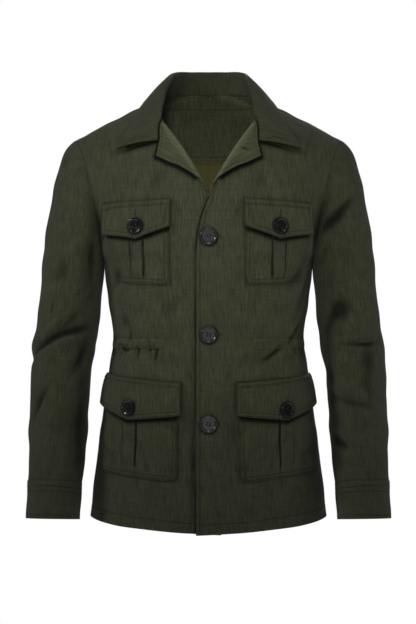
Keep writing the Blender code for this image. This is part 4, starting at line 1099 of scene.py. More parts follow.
class Threadwork:
    """Small raised stitches, gathered into one mesh for each piece that they hold."""

    def __init__(self, name: str, finish: ThreadFinish = THREAD_FINISH) -> None:
        """Starts with no stitches."""
        self.name = name
        self.finish = finish
        self.points: list[Array] = []
        self.faces: list[Face] = []
        self.count = 0

    def run(self, path: Sequence, normals: Sequence, stitch: float = 0.0026,
            gap: float = 0.0009, radius: float = 0.00034) -> None:
        """A row of stitches along a path.

        Args:
            path: Points on the cloth.
            normals: Outward normals at those points.
            stitch: Length of one stitch.
            gap: Space between two stitches.
            radius: Half the thread's thickness.
        """
        path, normals = np.array(path), np.array(normals)
        far = reach(path)
        number = int(far[-1] / (stitch + gap))
        if number < 1:
            return
        first = np.arange(number) * (far[-1] / number) + gap / 2
        where = (first[:, None] + np.array([0.0, 0.2, 0.8, 1.0]) * stitch).ravel()
        self.bars(along(path, where).reshape(number, 4, 3),
                  unit(read(far, where, normals)).reshape(number, 4, 3), radius)

    def bars(self, spot: Array, up: Array, radius: float) -> None:
        """Stitches given by four places each: start, two shoulders and end."""
        up = np.broadcast_to(up, spot.shape)
        side = unit(np.cross(unit(spot[:, 3] - spot[:, 0])[:, None], up)) * radius
        rise = up * radius
        rings = [spot[:, 0] - rise[:, 0] * 0.6]
        for k in (1, 2):
            centre = spot[:, k] + rise[:, k] * 0.35
            rings += [centre + side[:, k], centre + rise[:, k], centre - side[:, k],
                      centre - rise[:, k]]
        rings.append(spot[:, 3] - rise[:, 3] * 0.6)
        self.points.append(np.stack(rings, axis=1).reshape(-1, 3))
        for b in range(self.count, self.count + 10 * len(spot), 10):
            for i in range(4):
                j = (i + 1) % 4
                self.faces.append((b, b + 1 + j, b + 1 + i))
                self.faces.append((b + 1 + i, b + 1 + j, b + 5 + j, b + 5 + i))
                self.faces.append((b + 9, b + 5 + i, b + 5 + j))
        self.count += 10 * len(spot)

    def slit(self, centre: Array, way: Array, normal: Array, length: float) -> None:
        """A worked buttonhole: a slit edged with close stitches and barred at its ends."""
        way = unit(way)
        side = unit(np.cross(normal, way))
        number = int(length / 0.0008)
        bars = []
        for row in (-1.0, 1.0):
            for i in range(number):
                middle = centre + way * ((i + 0.5) / number - 0.5) * length
                bars.append([middle + side * row * (0.0003 + 0.0014 * s)
                             for s in (0.0, 0.25, 0.75, 1.0)])
        for end in (-0.5, 0.5):
            for i in range(3):
                middle = centre + way * (end * (length + 0.0012 + 0.0008 * i))
                bars.append([middle + side * s for s in (-0.0016, -0.0009, 0.0009, 0.0016)])
        self.bars(np.array(bars) + normal * 0.0002, normal, 0.00042)

    def build(self, slot: str = "olive_cloth") -> None:
        """The stitches as one object that rides with the jacket."""
        points = np.vstack(self.points)
        hand_over(closed_object(self.name, points, self.faces, self.finish))


def square_to_seam(normals: Array, picked: Array) -> Array:
    """Normals with the picked ones turned into the plane of the side and shoulder seams."""
    turned = normals.copy()
    turned[picked] = unit(turned[picked] * np.array([1.0, 0.0, 1.0]))
    return turned


def row_positions(panel: Panel) -> Array:
    """Row positions of a panel, close enough that no row is taller than the row step."""
    found = [0.0]
    for low in range(int(panel.rows.top)):
        rise = np.diff(panel.rows.values[low:low + 2], axis=0)[0]
        tall = max(np.linalg.norm(rise[0:3]), np.linalg.norm(rise[3:6]))
        waist = panel.rows.names[low] in ("hip", "under_waist", "waist_low", "waist")
        steps = max(2, math.ceil(tall / (ROW_STEP * (0.55 if waist else 1.0))))
        found += [low + (i + 1) / steps for i in range(steps)]
    return np.array(found)


# ---- fronts
@dataclass
class Front:
    """One front with its lapel, its facing and its topstitching."""

    side: Side
    panel: Panel

    def sheet(self, share: float) -> Sheet:
        """The front's rows over a share of its width, from its inner end, with the lapel."""
        heights = row_positions(self.panel)
        columns = int(PANEL_COLUMNS * share)
        shares = np.linspace(0, share, columns + 1)
        widths = self.panel.width(heights)
        places = np.repeat(heights, columns + 1), np.outer(widths, shares).ravel()
        points = self.panel.base(*places)[0].reshape(len(heights), columns + 1, 3)
        rows = []
        for v, row in zip(heights, points):
            marks, lapel = self.panel.lapel(float(v))
            rows.append((marks + list(shares), np.array(lapel + list(row))))
        return Sheet(rows, heights)

    def shade(self, sheet: Sheet, share: float) -> Array:
        """Painted shade at each point: in the creases, at the armhole and down the waist's side."""
        heights = sheet.heights
        depth = np.zeros(len(sheet.marks))
        body = sheet.marks >= 0
        across = np.outer(self.panel.width(heights),
                          np.linspace(0, share, int(PANEL_COLUMNS * share) + 1))
        depth[body] = self.panel.pressing(np.repeat(heights, across.shape[1]), across.ravel())
        z, ends = sheet.points[:, 2], sheet.reach(True)
        armhole = 0.90 * bell(z + 0.190, 0.045) * bell(ends, 0.012)
        waist = 0.50 * bell(z + 0.34, 0.10) * bell(ends, 0.026)
        return np.maximum(np.maximum(shaded(depth), armhole), waist)

    def layer(self, node: str, share: float, near: float, far: float, finish: ClothFinish,
              slot: str) -> tuple[Sheet, Array, Array]:
        """One wall of the front between two depths.

        Args:
            node: The solid that the wall stands for, without its side.
            share: How much of each row is made, from its inner end.
            near: Depth of its outer face under the front's outside.
            far: Depth of its inner face.
            finish: Its cloth.
            slot: Not used.

        Returns:
            The sheet, and the points and normals of its inner face.
        """
        sheet = self.sheet(share)
        rows = self.panel.rows
        normals = face_normals(sheet.points, sheet.faces, 0, (0.0, -1.0, 0.0))
        fold = self.shade(sheet, share)
        seam = list(range(sheet.starts[-1], sheet.ends[-1] + 1))
        if share == 1.0:
            seam += [end for end, v in zip(sheet.ends, sheet.heights)
                     if v <= rows.index("armpit")]
        normals = square_to_seam(normals, seam)
        sheet.points[seam, 1] = -SEAM_GAP / 2
        outer = (sheet.points - normals * near) * self.side.mirror
        inner = (sheet.points - normals * far) * self.side.mirror
        edge = sheet.reach()
        x_in, _, z_in, x_out, _, z_out = rows.values[0, :6]
        rise = held((sheet.points[:, 0] - x_in) / (x_out - x_in)) ** 1.6
        hem = sheet.points[:, 2] - z_in - (z_out - z_in) * rise
        across = edge.copy()
        for start, end, v in zip(sheet.starts, sheet.ends, sheet.heights):
            roll = start + int((sheet.marks[start:end + 1] < 0).sum())
            across[start:end + 1] += float(self.panel.columns(v)[0, 0]) - edge[roll]
        # The whole front gets painted shadow below the edges that lie over it; the facing gets a
        # painted highlight along the lapel's roll.
        if share == 1.0:
            for line, radius, strength in self.edges(sheet):
                under = beside(outer, line, radius) * strength
                fold = np.maximum(fold, np.where(sheet.marks < 0, 0.0, under))
        else:
            fold -= 0.85 * held(2.4 * np.minimum(-sheet.marks, sheet.marks + 1.25))
        dress(Shell(f"{node}_{self.side.word}", outer, inner, sheet.faces,
                    (across, sheet.points[:, 2]), edge, hem, fold), finish)
        return sheet, inner, -normals * self.side.mirror

    def edges(self, sheet: Sheet) -> list[tuple[Array, float, float]]:
        """Edges that lie over the front, with how wide and how strongly each paints shadow on it.
        """
        mirror = self.side.mirror
        lapel = sheet.firsts(lambda mark: mark < -1) + np.array([0.0010, 0.0, -0.0020])
        collar = Rows(COLLAR_ROWS)
        roll, edge = np.split(collar.at(collar.top)[0, :6], 2)
        end = roll + np.linspace(0.0, 1.0, 20)[:, None] * (edge - roll)
        down = np.array([0.0, 0.0, -0.0030])
        fall = collar.at(np.linspace(3.0, collar.top, 60))[:, 3:6]
        found = [(lapel * mirror, 0.0044, 1.0), ((end + down) * mirror, 0.0044, 1.0),
                 ((fall + down * 0.7) * mirror, 0.0034, 0.9)]
        if self.side is Side.LEFT:
            turn = np.linspace(0.0, 2 * math.pi, 60)
            radius = FRONT_BUTTON_RADIUS + 0.0003
            for z in FRONT_BUTTON_HEIGHTS:
                ring = self.panel.spots(radius * np.cos(turn) + 0.0004,
                                        z - 0.0012 + radius * np.sin(turn))[0]
                found.append((ring, 0.0018, 0.9))
        else:
            over = sheet.firsts(lambda mark: mark == 0) - np.array([0.0010, 0.0, 0.0])
            found.append((over, 0.0019, 0.9))
        for pocket in POCKETS:
            if pocket.side is self.side:
                flap, bag = pocket.outlines(self.panel)
                found += [(flap, 0.0015, 0.50), (bag, 0.0015, 0.28)]
        return found

    def build(self) -> None:
        """The front, its facing and the stitches on both."""
        word, panel = self.side.word, self.panel
        self.layer("front", 1.0, 0.0, CLOTH, PANEL_FINISH, "olive_cloth")
        facing, shown, up = self.layer("facing", FACING_SHARE, FACING_IN, FACING_IN + FACING,
                                       FACING_FINISH, "olive_facing")
        sewing = Threadwork("front_stitches_" + word)
        self.line(sewing, np.linspace(0.03, 13.2, 260), 0.0060)
        hem = np.full(120, HEM_ROW)
        self.line(sewing, hem, panel.width(hem) * np.linspace(0.01, 0.99, 120))
        for z in CASING:
            v = np.full(120, float(panel.height(z)))
            start = CASING_START - panel.columns(v)[0, 0]
            whole = panel.width(v) - 0.001 - start
            self.line(sewing, v, start + whole * np.linspace(0, 1, 120))
        path, normals = [], []
        for start, end in zip(facing.starts, facing.ends):
            if end + 1 - start > FACING_SHARE * PANEL_COLUMNS + LAPEL_STEPS:
                path.append(along(shown[start:end + 1], 0.0055))
                normals.append(up[start + 3])
        sewing.run(path, normals)
        self.trim(sewing, shown, up)
        sewing.build()

    def line(self, sewing: Threadwork, v: Array, distance: Array) -> None:
        """A row of stitches along places of the front's outside."""
        point, normal = self.panel.base(v, distance)
        sewing.run(point * self.side.mirror, normal * self.side.mirror)

    def trim(self, sewing: Threadwork, shown: Array, up: Array) -> None:
        """The top buttonhole or its button's thread on the lapel, and the front buttonholes."""
        place = TOP_BUTTONHOLE if self.side is Side.LEFT else TOP_BUTTON_THREAD
        off = np.linalg.norm((shown - np.array(place))[:, [0, 2]], axis=1)
        nearest = int(np.argmin(off + 10 * (shown[:, 1] > -0.07)))
        centre, normal = shown[nearest], up[nearest]
        if self.side is Side.LEFT:
            sewing.slit(centre, np.array([0.85, 0.0, -0.25]), normal, 0.0150)
            for z in FRONT_BUTTON_HEIGHTS:
                spot, out = self.panel.spots(0.0075, z, 0.0001)
                sewing.slit(spot[0], np.array([1.0, 0.0, 0.0]), out[0], 0.0230)
        else:
            for turn in (0.6, 2.2):
                way = np.array([math.cos(turn), 0.0, math.sin(turn)])
                bar = [centre + way * s + normal * 0.0003
                       for s in (-0.0016, -0.0008, 0.0008, 0.0016)]
                sewing.bars(np.array([bar]), normal, 0.0007)


# ---- back
@dataclass
class Back:
    """The back panel with its neck facing and half lining."""

    panel: Panel

    def layer(self, node: str, low: float, high: float, near: float, far: float,
              finish: ClothFinish, slot: str, columns: int) -> None:
        """One wall of the back between two heights and two depths.

        Args:
            node: The solid that the wall stands for.
            low: Row position of its lower edge.
            high: Row position of its upper edge.
            near: Depth of its outer face under the back's outside.
            far: Depth of its inner face.
            finish: Its cloth.
            slot: Not used.
            columns: Points across half of it.
        """
        rows, panel = self.panel.rows, self.panel
        neck = rows.index("neck")
        heights = row_positions(panel)
        inside = (heights > low + 0.02) & (heights < high - 0.02)
        heights = np.concatenate([[low], heights[inside], [high]])
        bunched = np.abs(heights - neck)
        heights = heights[(bunched > 0.22) | (bunched < 1e-9)]
        run = np.outer(panel.width(heights), np.linspace(0, 1, columns + 1))
        places = np.repeat(heights, columns + 1), run.ravel()
        right = panel.base(*places)[0].reshape(run.shape + (3,))
        deep = panel.pressing(*places).reshape(run.shape)
        joined = int((heights <= neck).sum())
        right[:joined, 0, 0] = 0.0
        left = right[:, ::-1] * Side.RIGHT.mirror
        wide = 2 * columns + 1
        points = [np.vstack([a[:-1], b]) for a, b in zip(left[:joined], right[:joined])]
        across = [np.concatenate([-d[:0:-1], d]) for d in run[:joined]]
        tall = [np.full(wide, v) for v in heights[:joined]]
        fold = [np.concatenate([d[:0:-1], d]) for d in deep[:joined]]
        faces = grid_faces(joined, wide)
        start = joined * wide
        for first, part, sign in ((0, left, -1), (columns, right, 1)):
            below = (joined - 1) * wide + first
            for k in range(joined, len(heights)):
                points.append(part[k])
                across.append(sign * (run[k][::sign] + right[k, 0, 0]))
                tall.append(np.full(columns + 1, heights[k]))
                fold.append(deep[k][::sign])
                faces += [(below + c, below + c + 1, start + c + 1, start + c)
                          for c in range(columns)]
                below = start
                start += columns + 1
        flat, around, tall = np.vstack(points), np.concatenate(across), np.concatenate(tall)
        flat = relaxed(flat, faces, np.abs(tall - neck) < 1.3)
        normals = face_normals(flat, faces, columns, (0.0, 1.0, 0.0))
        seam = tall >= rows.top - 1e-9
        if near == 0.0:
            ends = np.abs(around) >= panel.width(tall) - 1e-6
            seam |= ends & (tall <= rows.index("armpit"))
        normals = square_to_seam(normals, seam)
        flat[seam, 1] = SEAM_GAP / 2
        z = flat[:, 2]
        hem = z - panel.columns(low)[0, 2]
        edge = hem if near > 0.0 else None
        if node == "back_facing":
            hem = z - FACING_LINE + FACING_FINISH.hem_line
        elif node == "back_lining":
            edge, hem = panel.columns(high)[0, 2] - z, np.abs(around)
        # fold holds the creases' depths; shaded turns them into painted shade and painted highlight
        dress(Shell(node, flat - normals * near, flat - normals * far, faces, (around, z),
                    edge, hem, shaded(np.concatenate(fold))), finish)

    def build(self) -> None:
        """The back, its facing, its lining and their stitches."""
        rows, panel = self.panel.rows, self.panel
        yoke = float(panel.height(YOKE_EDGE))
        self.layer("back", 0.0, rows.top, 0.0, CLOTH, PANEL_FINISH, "olive_cloth", 78)
        self.layer("back_facing", yoke, rows.top, FACING_IN, FACING_IN + FACING,
                   FACING_FINISH, "olive_cloth", 60)
        self.layer("back_lining", rows.index("armpit"), yoke - 0.012, FACING_IN,
                   FACING_IN + LINING, LINING_FINISH, "olive_lining", 50)
        sewing = Threadwork("back_stitches")
        for v in [HEM_ROW] + [float(panel.height(z + 0.004)) for z in CASING]:
            self.line(sewing, v, 0.0)
        for v in (yoke - 0.075, yoke - 0.150):
            self.line(sewing, v, FACING_IN + FACING + 0.0001)
        sewing.build()

    def line(self, sewing: Threadwork, v: float, depth: float) -> None:
        """A level row of stitches on both halves, outside or at a depth on the inside."""
        v = np.full(150, v)
        point, normal = self.panel.base(v, self.panel.width(v) * np.linspace(0.0, 0.995, 150))
        for side in Side:
            sewing.run((point - normal * depth) * side.mirror,
                       normal * side.mirror * (-1 if depth else 1))


# ---- sleeves and cuffs
@dataclass
class Sleeve:
    """One sleeve, set into the armhole of its front and of the back, with its cuff."""

    side: Side
    front: Panel
    back: Panel
    around: int = 96
    head_rings: int = 34
    arm_rings: int = 100
    cuff_rings: int = 26
    girth: float = 0.340
    ease: float = 0.015

    def armhole(self) -> tuple[Array, Array, Array, Array]:
        """The armhole's edge up the front and down the back.

        Returns:
            Points, normals, the way out of the armhole and the angle of each place.
        """
        half = self.around // 2
        found = []
        for panel, first, last in ((self.front, 0.0, math.pi), (self.back, 2 * math.pi, math.pi)):
            fine = np.linspace(panel.rows.index("armpit"), panel.rows.top, 400)
            far = reach(panel.columns(fine)[:, 3:6])
            shares = np.linspace(0, 1, half + 1)
            v = np.interp(shares * far[-1], far, fine)
            point, normal = panel.base(v, np.full(len(v), 9.0), False)
            curve = panel.curves(v, 41)
            angle = first + (last - first) * shares
            lean = 0.3 + 0.7 * np.cos(angle / 2) ** 2
            way = unit(unit(curve[:, -1] - curve[:, -3]) + normal * lean[:, None])
            normal = square_to_seam(normal, [0, half])
            way[[0, half]] = unit([1.0, 0.0, -0.5])
            pick = slice(0, half + 1) if panel is self.front else slice(half - 1, 0, -1)
            found.append((point[pick], normal[pick], way[pick], angle[pick]))
        return tuple(np.concatenate(pair) for pair in zip(*found))

    @staticmethod
    def ring(rows: Rows, v: float, angles: Array) -> tuple[Array, Array]:
        """One ring of the sleeve, square to the sleeve's own line, and that line's way."""
        x, y, z, half_width, half_depth = rows.at(v)[0]
        axis = unit((rows.at(min(v + 0.2, rows.top)) - rows.at(max(v - 0.2, 0.0)))[0, :3])
        dx, dy = -half_width * np.cos(angles), -half_depth * np.sin(angles)
        level = float(held((v - 5.5) / 1.5))
        tilt = (axis[0] * dx + axis[1] * dy) / axis[2] * (1.0 - HEM_LEVEL * level)
        return np.stack([x + dx, y + dy, z - HEM_DROP * level - tilt], axis=1), axis

    def folds(self, angles: Array, z: Array) -> Array:
        """How deep the sleeve's own creases lie at places round it."""
        total = np.zeros(len(angles))
        for crease in SLEEVE_CREASES[self.side]:
            off = (np.degrees(angles) - crease.across + 180.0) % 360.0 - 180.0
            total += crease.press(np.radians(off) * 0.052, z)
        for wide, high, phase, height in UNEVENNESS:
            total += 1.3 * height * np.sin(np.round(wide / 3) * angles
                                           + 2 * math.pi * high * z + phase)
        return total

    def plain(self, rows: Rows) -> tuple[Array, Array, Array, Array]:
        """Rings of the uncreased sleeve from the armhole to the cuff seam.

        Args:
            rows: The sleeve's table.

        Returns:
            The rings, their angles, the lengthwise thread of each point and the armhole's
            normals.
        """
        point, normal, way, angles = self.armhole()
        first, axis = self.ring(rows, 0.0, angles)
        crown = ((1 - np.cos(angles)) / 2)[:, None]
        start = point + way * ARMHOLE_GAP
        lead = unit(np.stack([0.30 + 0.65 * crown[:, 0], -0.12 * np.sin(angles),
                              -(0.92 - 0.52 * crown[:, 0])], axis=1))
        span = np.linalg.norm(first - start, axis=1, keepdims=True)
        one = start + lead * span * (0.30 - 0.12 * crown)
        two = first - axis * span * 0.42
        tucked = held((crown - 0.35) / 0.4)
        under = normal * (CLOTH + LAYER_GAP) * tucked
        rings = [point + way * 0.0002 - under - way * 0.0026 * tucked,
                 point + way * 0.0004 - under]
        rings += [bezier(start, one, two, first, t)
                  for t in np.arange(self.head_rings) / self.head_rings]
        head = len(rings)
        rings += [self.ring(rows, v, angles)[0]
                  for v in np.linspace(0.0, rows.index("cuff_seam"), self.arm_rings)]
        grid = np.array(rings)
        turn = np.tile(angles, (len(grid), 1))
        x, y, z, half_width, _ = rows.at(0.0)[0]
        side = unit(np.array([1.0, 0.0, 0.0]) - axis * axis[0])
        offset = (np.array([x, y, z]) - grid[:head]) @ side / (half_width / abs(axis[2]))
        straight = np.arccos(np.clip(offset, -1.0, 1.0))
        straight = np.where(angles > math.pi, 2 * math.pi - straight, straight)
        from_ends = np.minimum(np.abs(angles - math.pi) / 0.9, 1.0)
        turn[:head] += (straight - turn[:head]) * from_ends ** 2 * (3 - 2 * from_ends)
        return grid, angles, turn, normal

    def normals(self, grid: Array) -> Array:
        """Outward normals of rings of points."""
        flat, last = grid.reshape(-1, 3), (len(grid) - 1) * self.around
        return face_normals(flat, grid_faces(len(grid), self.around, True), last,
                            flat[last] - grid[-1].mean(axis=0))

    def tube(self, node: str, grid: Array, normals: Array, turn: Array, thickness: float,
             finish: ClothFinish, fold: Optional[Array] = None) -> None:
        """A wall inside rings of points, dressed in place of a solid."""
        down = reaches(grid.transpose(1, 0, 2)).T
        flat, mirror = grid.reshape(-1, 3), self.side.mirror
        hem = down[-1] - down
        dress(Shell(f"{node}_{self.side.word}", flat * mirror,
                    (flat - normals * thickness) * mirror,
                    grid_faces(len(grid), self.around, True),
                    (turn / (2 * math.pi) * self.girth, hem), down, hem, fold, self.girth),
              finish)

    def arm(self, rows: Rows) -> None:
        """The sleeve with its creases, from the armhole to the cuff seam, with painted shade in the
        creases and along the front of the armhole.
        """
        grid, angles, turn, known = self.plain(rows)
        normals = self.normals(grid).reshape(grid.shape)
        fold = []
        for i, points in enumerate(grid):
            away = np.linalg.norm(points - grid[0], axis=1)
            near_cuff = np.linalg.norm(points - grid[-1], axis=1)
            eased = held(np.minimum(away / self.ease, near_cuff / self.ease + 0.25))
            depth = self.folds(angles, points[:, 2]) * eased
            grid[i] = points - normals[i] * depth[:, None]
            # seam: painted shade along the front half of the armhole seam
            seam = 0.90 * bell(away, self.ease) * bell(points[:, 2] + 0.185, 0.05)
            fold.append(np.maximum(shaded(depth), seam * (angles < math.pi)))
        normals = self.normals(grid)
        share = held((-np.cos(angles) + 0.2) / 0.6)[:, None]
        normals[:self.around] = unit(normals[:self.around] * (1 - share) + known * share)
        self.tube("sleeve", grid, normals, turn, CLOTH, SLEEVE_FINISH, np.array(fold))

    def cuff(self, rows: Rows) -> None:
        """The cuff band and its stitches."""
        even = 2 * math.pi * np.arange(self.around) / self.around
        seam, rings = rows.index("cuff_seam"), []
        for v in np.linspace(seam, seam + 1.0, self.cuff_rings):
            points, axis = self.ring(rows, v, even)
            share = v - seam
            dents = 0.0007 * np.sin(3 * even + 5 * share) * np.sin(math.pi * share)
            shift = axis * LAYER_GAP * 1.2 if v == seam else 0.0
            out = unit(points - points.mean(axis=0))
            rings.append(points + out * (CUFF_STEP + dents)[:, None] + shift)
        grid = np.array(rings)
        normals = self.normals(grid)
        self.tube("cuff", grid, normals, np.tile(even, len(grid)).reshape(grid.shape[:2]),
                  CLOTH + CUFF_STEP, CUFF_FINISH)
        sewing = Threadwork("cuff_stitches_" + self.side.word)
        length, mirror = reach(grid[:, 0])[-1], self.side.mirror
        for down in (0.0016, 0.0100, 0.0180, length - 0.0060):
            share, low = math.modf(down / length * (len(grid) - 1))
            low = int(low)
            ring = grid[low] * (1 - share) + grid[min(low + 1, len(grid) - 1)] * share
            up = normals.reshape(grid.shape)[low]
            sewing.run(np.vstack([ring, ring[:1]]) * mirror, np.vstack([up, up[:1]]) * mirror)
        sewing.build()

    def build(self) -> None:
        """The sleeve, the cuff and their stitches."""
        rows = Rows(SLEEVE_ROWS)
        self.arm(rows)
        self.cuff(rows)


# ---- collar
@dataclass
class Collar:
    """The collar's stand, fold and fall in one wall from notch to notch."""

    front: Panel
    back: Panel
    count: int = 44
    stations: int = 78
    stitch_inset: float = 0.0060
    seam_shade: float = 0.85

    def seam(self, station: float) -> Array:
        """A point of the seam line, by how far round it lies from the centre back."""
        if station <= 3.0:
            return self.back.columns(self.back.rows.index("neck") + station)[0, :3]
        v = self.front.rows.top + 3.0 - station if station <= 6.0 else 21.0 - 2 * (station - 6.0)
        folded = self.front.lapel(float(v))[1]
        return folded[0] if folded else self.front.columns(v)[0, :3]

    @staticmethod
    def spline(control: Array, count: int) -> Array:
        """A smooth curve led by its control points, with even steps along it."""
        degree, total = 3, len(control)
        knots = np.concatenate([[0] * degree, np.linspace(0, 1, total - degree + 1),
                                [1] * degree])
        found = []
        for t in np.linspace(0, 1 - 1e-9, 90):
            span = int(np.searchsorted(knots, t, side="right") - 1)
            local = [control[j + span - degree] for j in range(degree + 1)]
            for r in range(1, degree + 1):
                for j in range(degree, r - 1, -1):
                    low, high = knots[j + span - degree], knots[j + 1 + span - r]
                    share = 0.0 if high <= low else (t - low) / (high - low)
                    local[j] = (1 - share) * local[j - 1] + share * local[j]
            found.append(local[degree])
        found = np.array(found)
        return along(found, np.linspace(0, reach(found)[-1], count))

    def profile(self, seam: Array, values: Array, station: float) -> Array:
        """One section of the collar from its seam over the fold to the free edge.

        Args:
            seam: The section's point on the seam.
            values: The section's fold and edge, from the collar's table.
            station: How far round it lies, in rows of that table.

        Returns:
            The section's points.
        """
        roll, edge, half_fold = values[0:3], values[3:6], values[6]
        stand, crossing, flat = held(np.array([(6.4 - station) / 1.6, station - 4.8,
                                               (station - 6.0) / 0.5]))
        out = unit((edge - roll) * np.array([1.0, 1.0, 0.0]))
        rise = unit(roll - seam + np.array([0.0, 0.0, 1e-6]))
        leave = unit(unit(rise * (1 - crossing) + APEX_LIFT * crossing) * (1 - flat)
                     + unit(edge - seam) * flat)
        start = seam + leave * ((LAYER_GAP * 1.8 + GORGE_GAP) * crossing
                                - COLLAR_TUCK * (1.0 - crossing))
        top = roll + rise * 0.0015 * stand
        inner = start + (top - out * half_fold - start) * stand
        outer = start + (top + out * half_fold - start) * stand
        fall = edge - outer
        swell = np.array([0.0, 0.0, 0.0025]) + out * 0.0010
        control = np.array([start, start + (inner - start) * 0.5, inner, outer,
                            outer + fall * 0.30 + swell, outer + fall * 0.68 + swell, edge])
        return self.spline(control, self.count)

    @staticmethod
    def rest_on(points: Array, tree: BVHTree, clearance: Array) -> Array:
        """Points moved out where they come nearer to the body than their clearance."""
        moved = points.copy()
        for i, (point, clear) in enumerate(zip(points, clearance)):
            hit, normal, _, _ = tree.find_nearest(Vector(point))
            over = float((point - np.array(hit)) @ np.array(normal))
            if over < clear:
                moved[i] = point + np.array(normal) * (clear - over)
        return moved

    def body_tree(self) -> BVHTree:
        """The outside of one half of the upper body, which the fall rests on."""
        verts, faces = [], []
        for panel in (self.front, self.back):
            v = np.linspace(panel.rows.index("armpit"), panel.rows.top, 60)
            for face in grid_faces(60, 30):
                turned = face if panel.front else face[:1] + face[:0:-1]
                faces.append(tuple(i + len(verts) for i in turned))
            verts += panel.curves(v, 30).reshape(-1, 3).tolist()
        return BVHTree.FromPolygons(verts, faces)

    def build(self) -> None:
        """The collar and its stitches."""
        rows, tree, half = Rows(COLLAR_ROWS), self.body_tree(), []
        fall = self.count // 2
        share = np.linspace(0, 1, self.count - fall)
        for station in np.linspace(0.0, rows.top, self.stations):
            curve = self.profile(self.seam(station), rows.at(station)[0], float(station))
            clear = np.where(share > 0.3, COLLAR_REST, 0.0012)
            curve[fall:] = self.rest_on(curve[fall:], tree, clear)
            half.append(curve)
        half = np.array(half)
        grid = np.concatenate([half[::-1] * Side.RIGHT.mirror, half[1:]])
        flat, faces = grid.reshape(-1, 3), grid_faces(len(grid), self.count)
        middle = (len(half) - 1) * self.count
        normals = face_normals(flat, faces, middle, (0.0, -1.0, 0.0))
        outer = flat + normals * COLLAR
        down = reaches(grid)
        round_it = reach(grid[:, -1])
        ends = np.minimum(round_it, round_it[-1] - round_it)[:, None]
        edge = np.minimum(down[:, -1:] - down, np.where(down > 0.02, ends, 1.0))
        cloth = np.repeat(reach(grid[:, fall]), self.count), down
        # seam: a line of painted shade along the collar's seam
        seam = self.seam_shade * held(1.0 - down / 0.0030)
        dress(Shell("collar", flat, outer, faces, cloth, edge, down, seam), COLLAR_FINISH)
        sewing = Threadwork("collar_stitches")
        shown, out = outer.reshape(grid.shape), normals.reshape(grid.shape)
        inset = int(np.searchsorted(round_it, self.stitch_inset))
        path = [read(far, far[-1] - self.stitch_inset, row) for row, far in zip(shown, down)]
        sewing.run(path[inset:-inset], out[inset:-inset, -3])
        for index in (inset, len(grid) - 1 - inset):
            far = down[index]
            want = np.linspace(0.012, far[-1] - self.stitch_inset, 40)
            sewing.run(along(shown[index], want), read(far, want, out[index]))
        sewing.build()


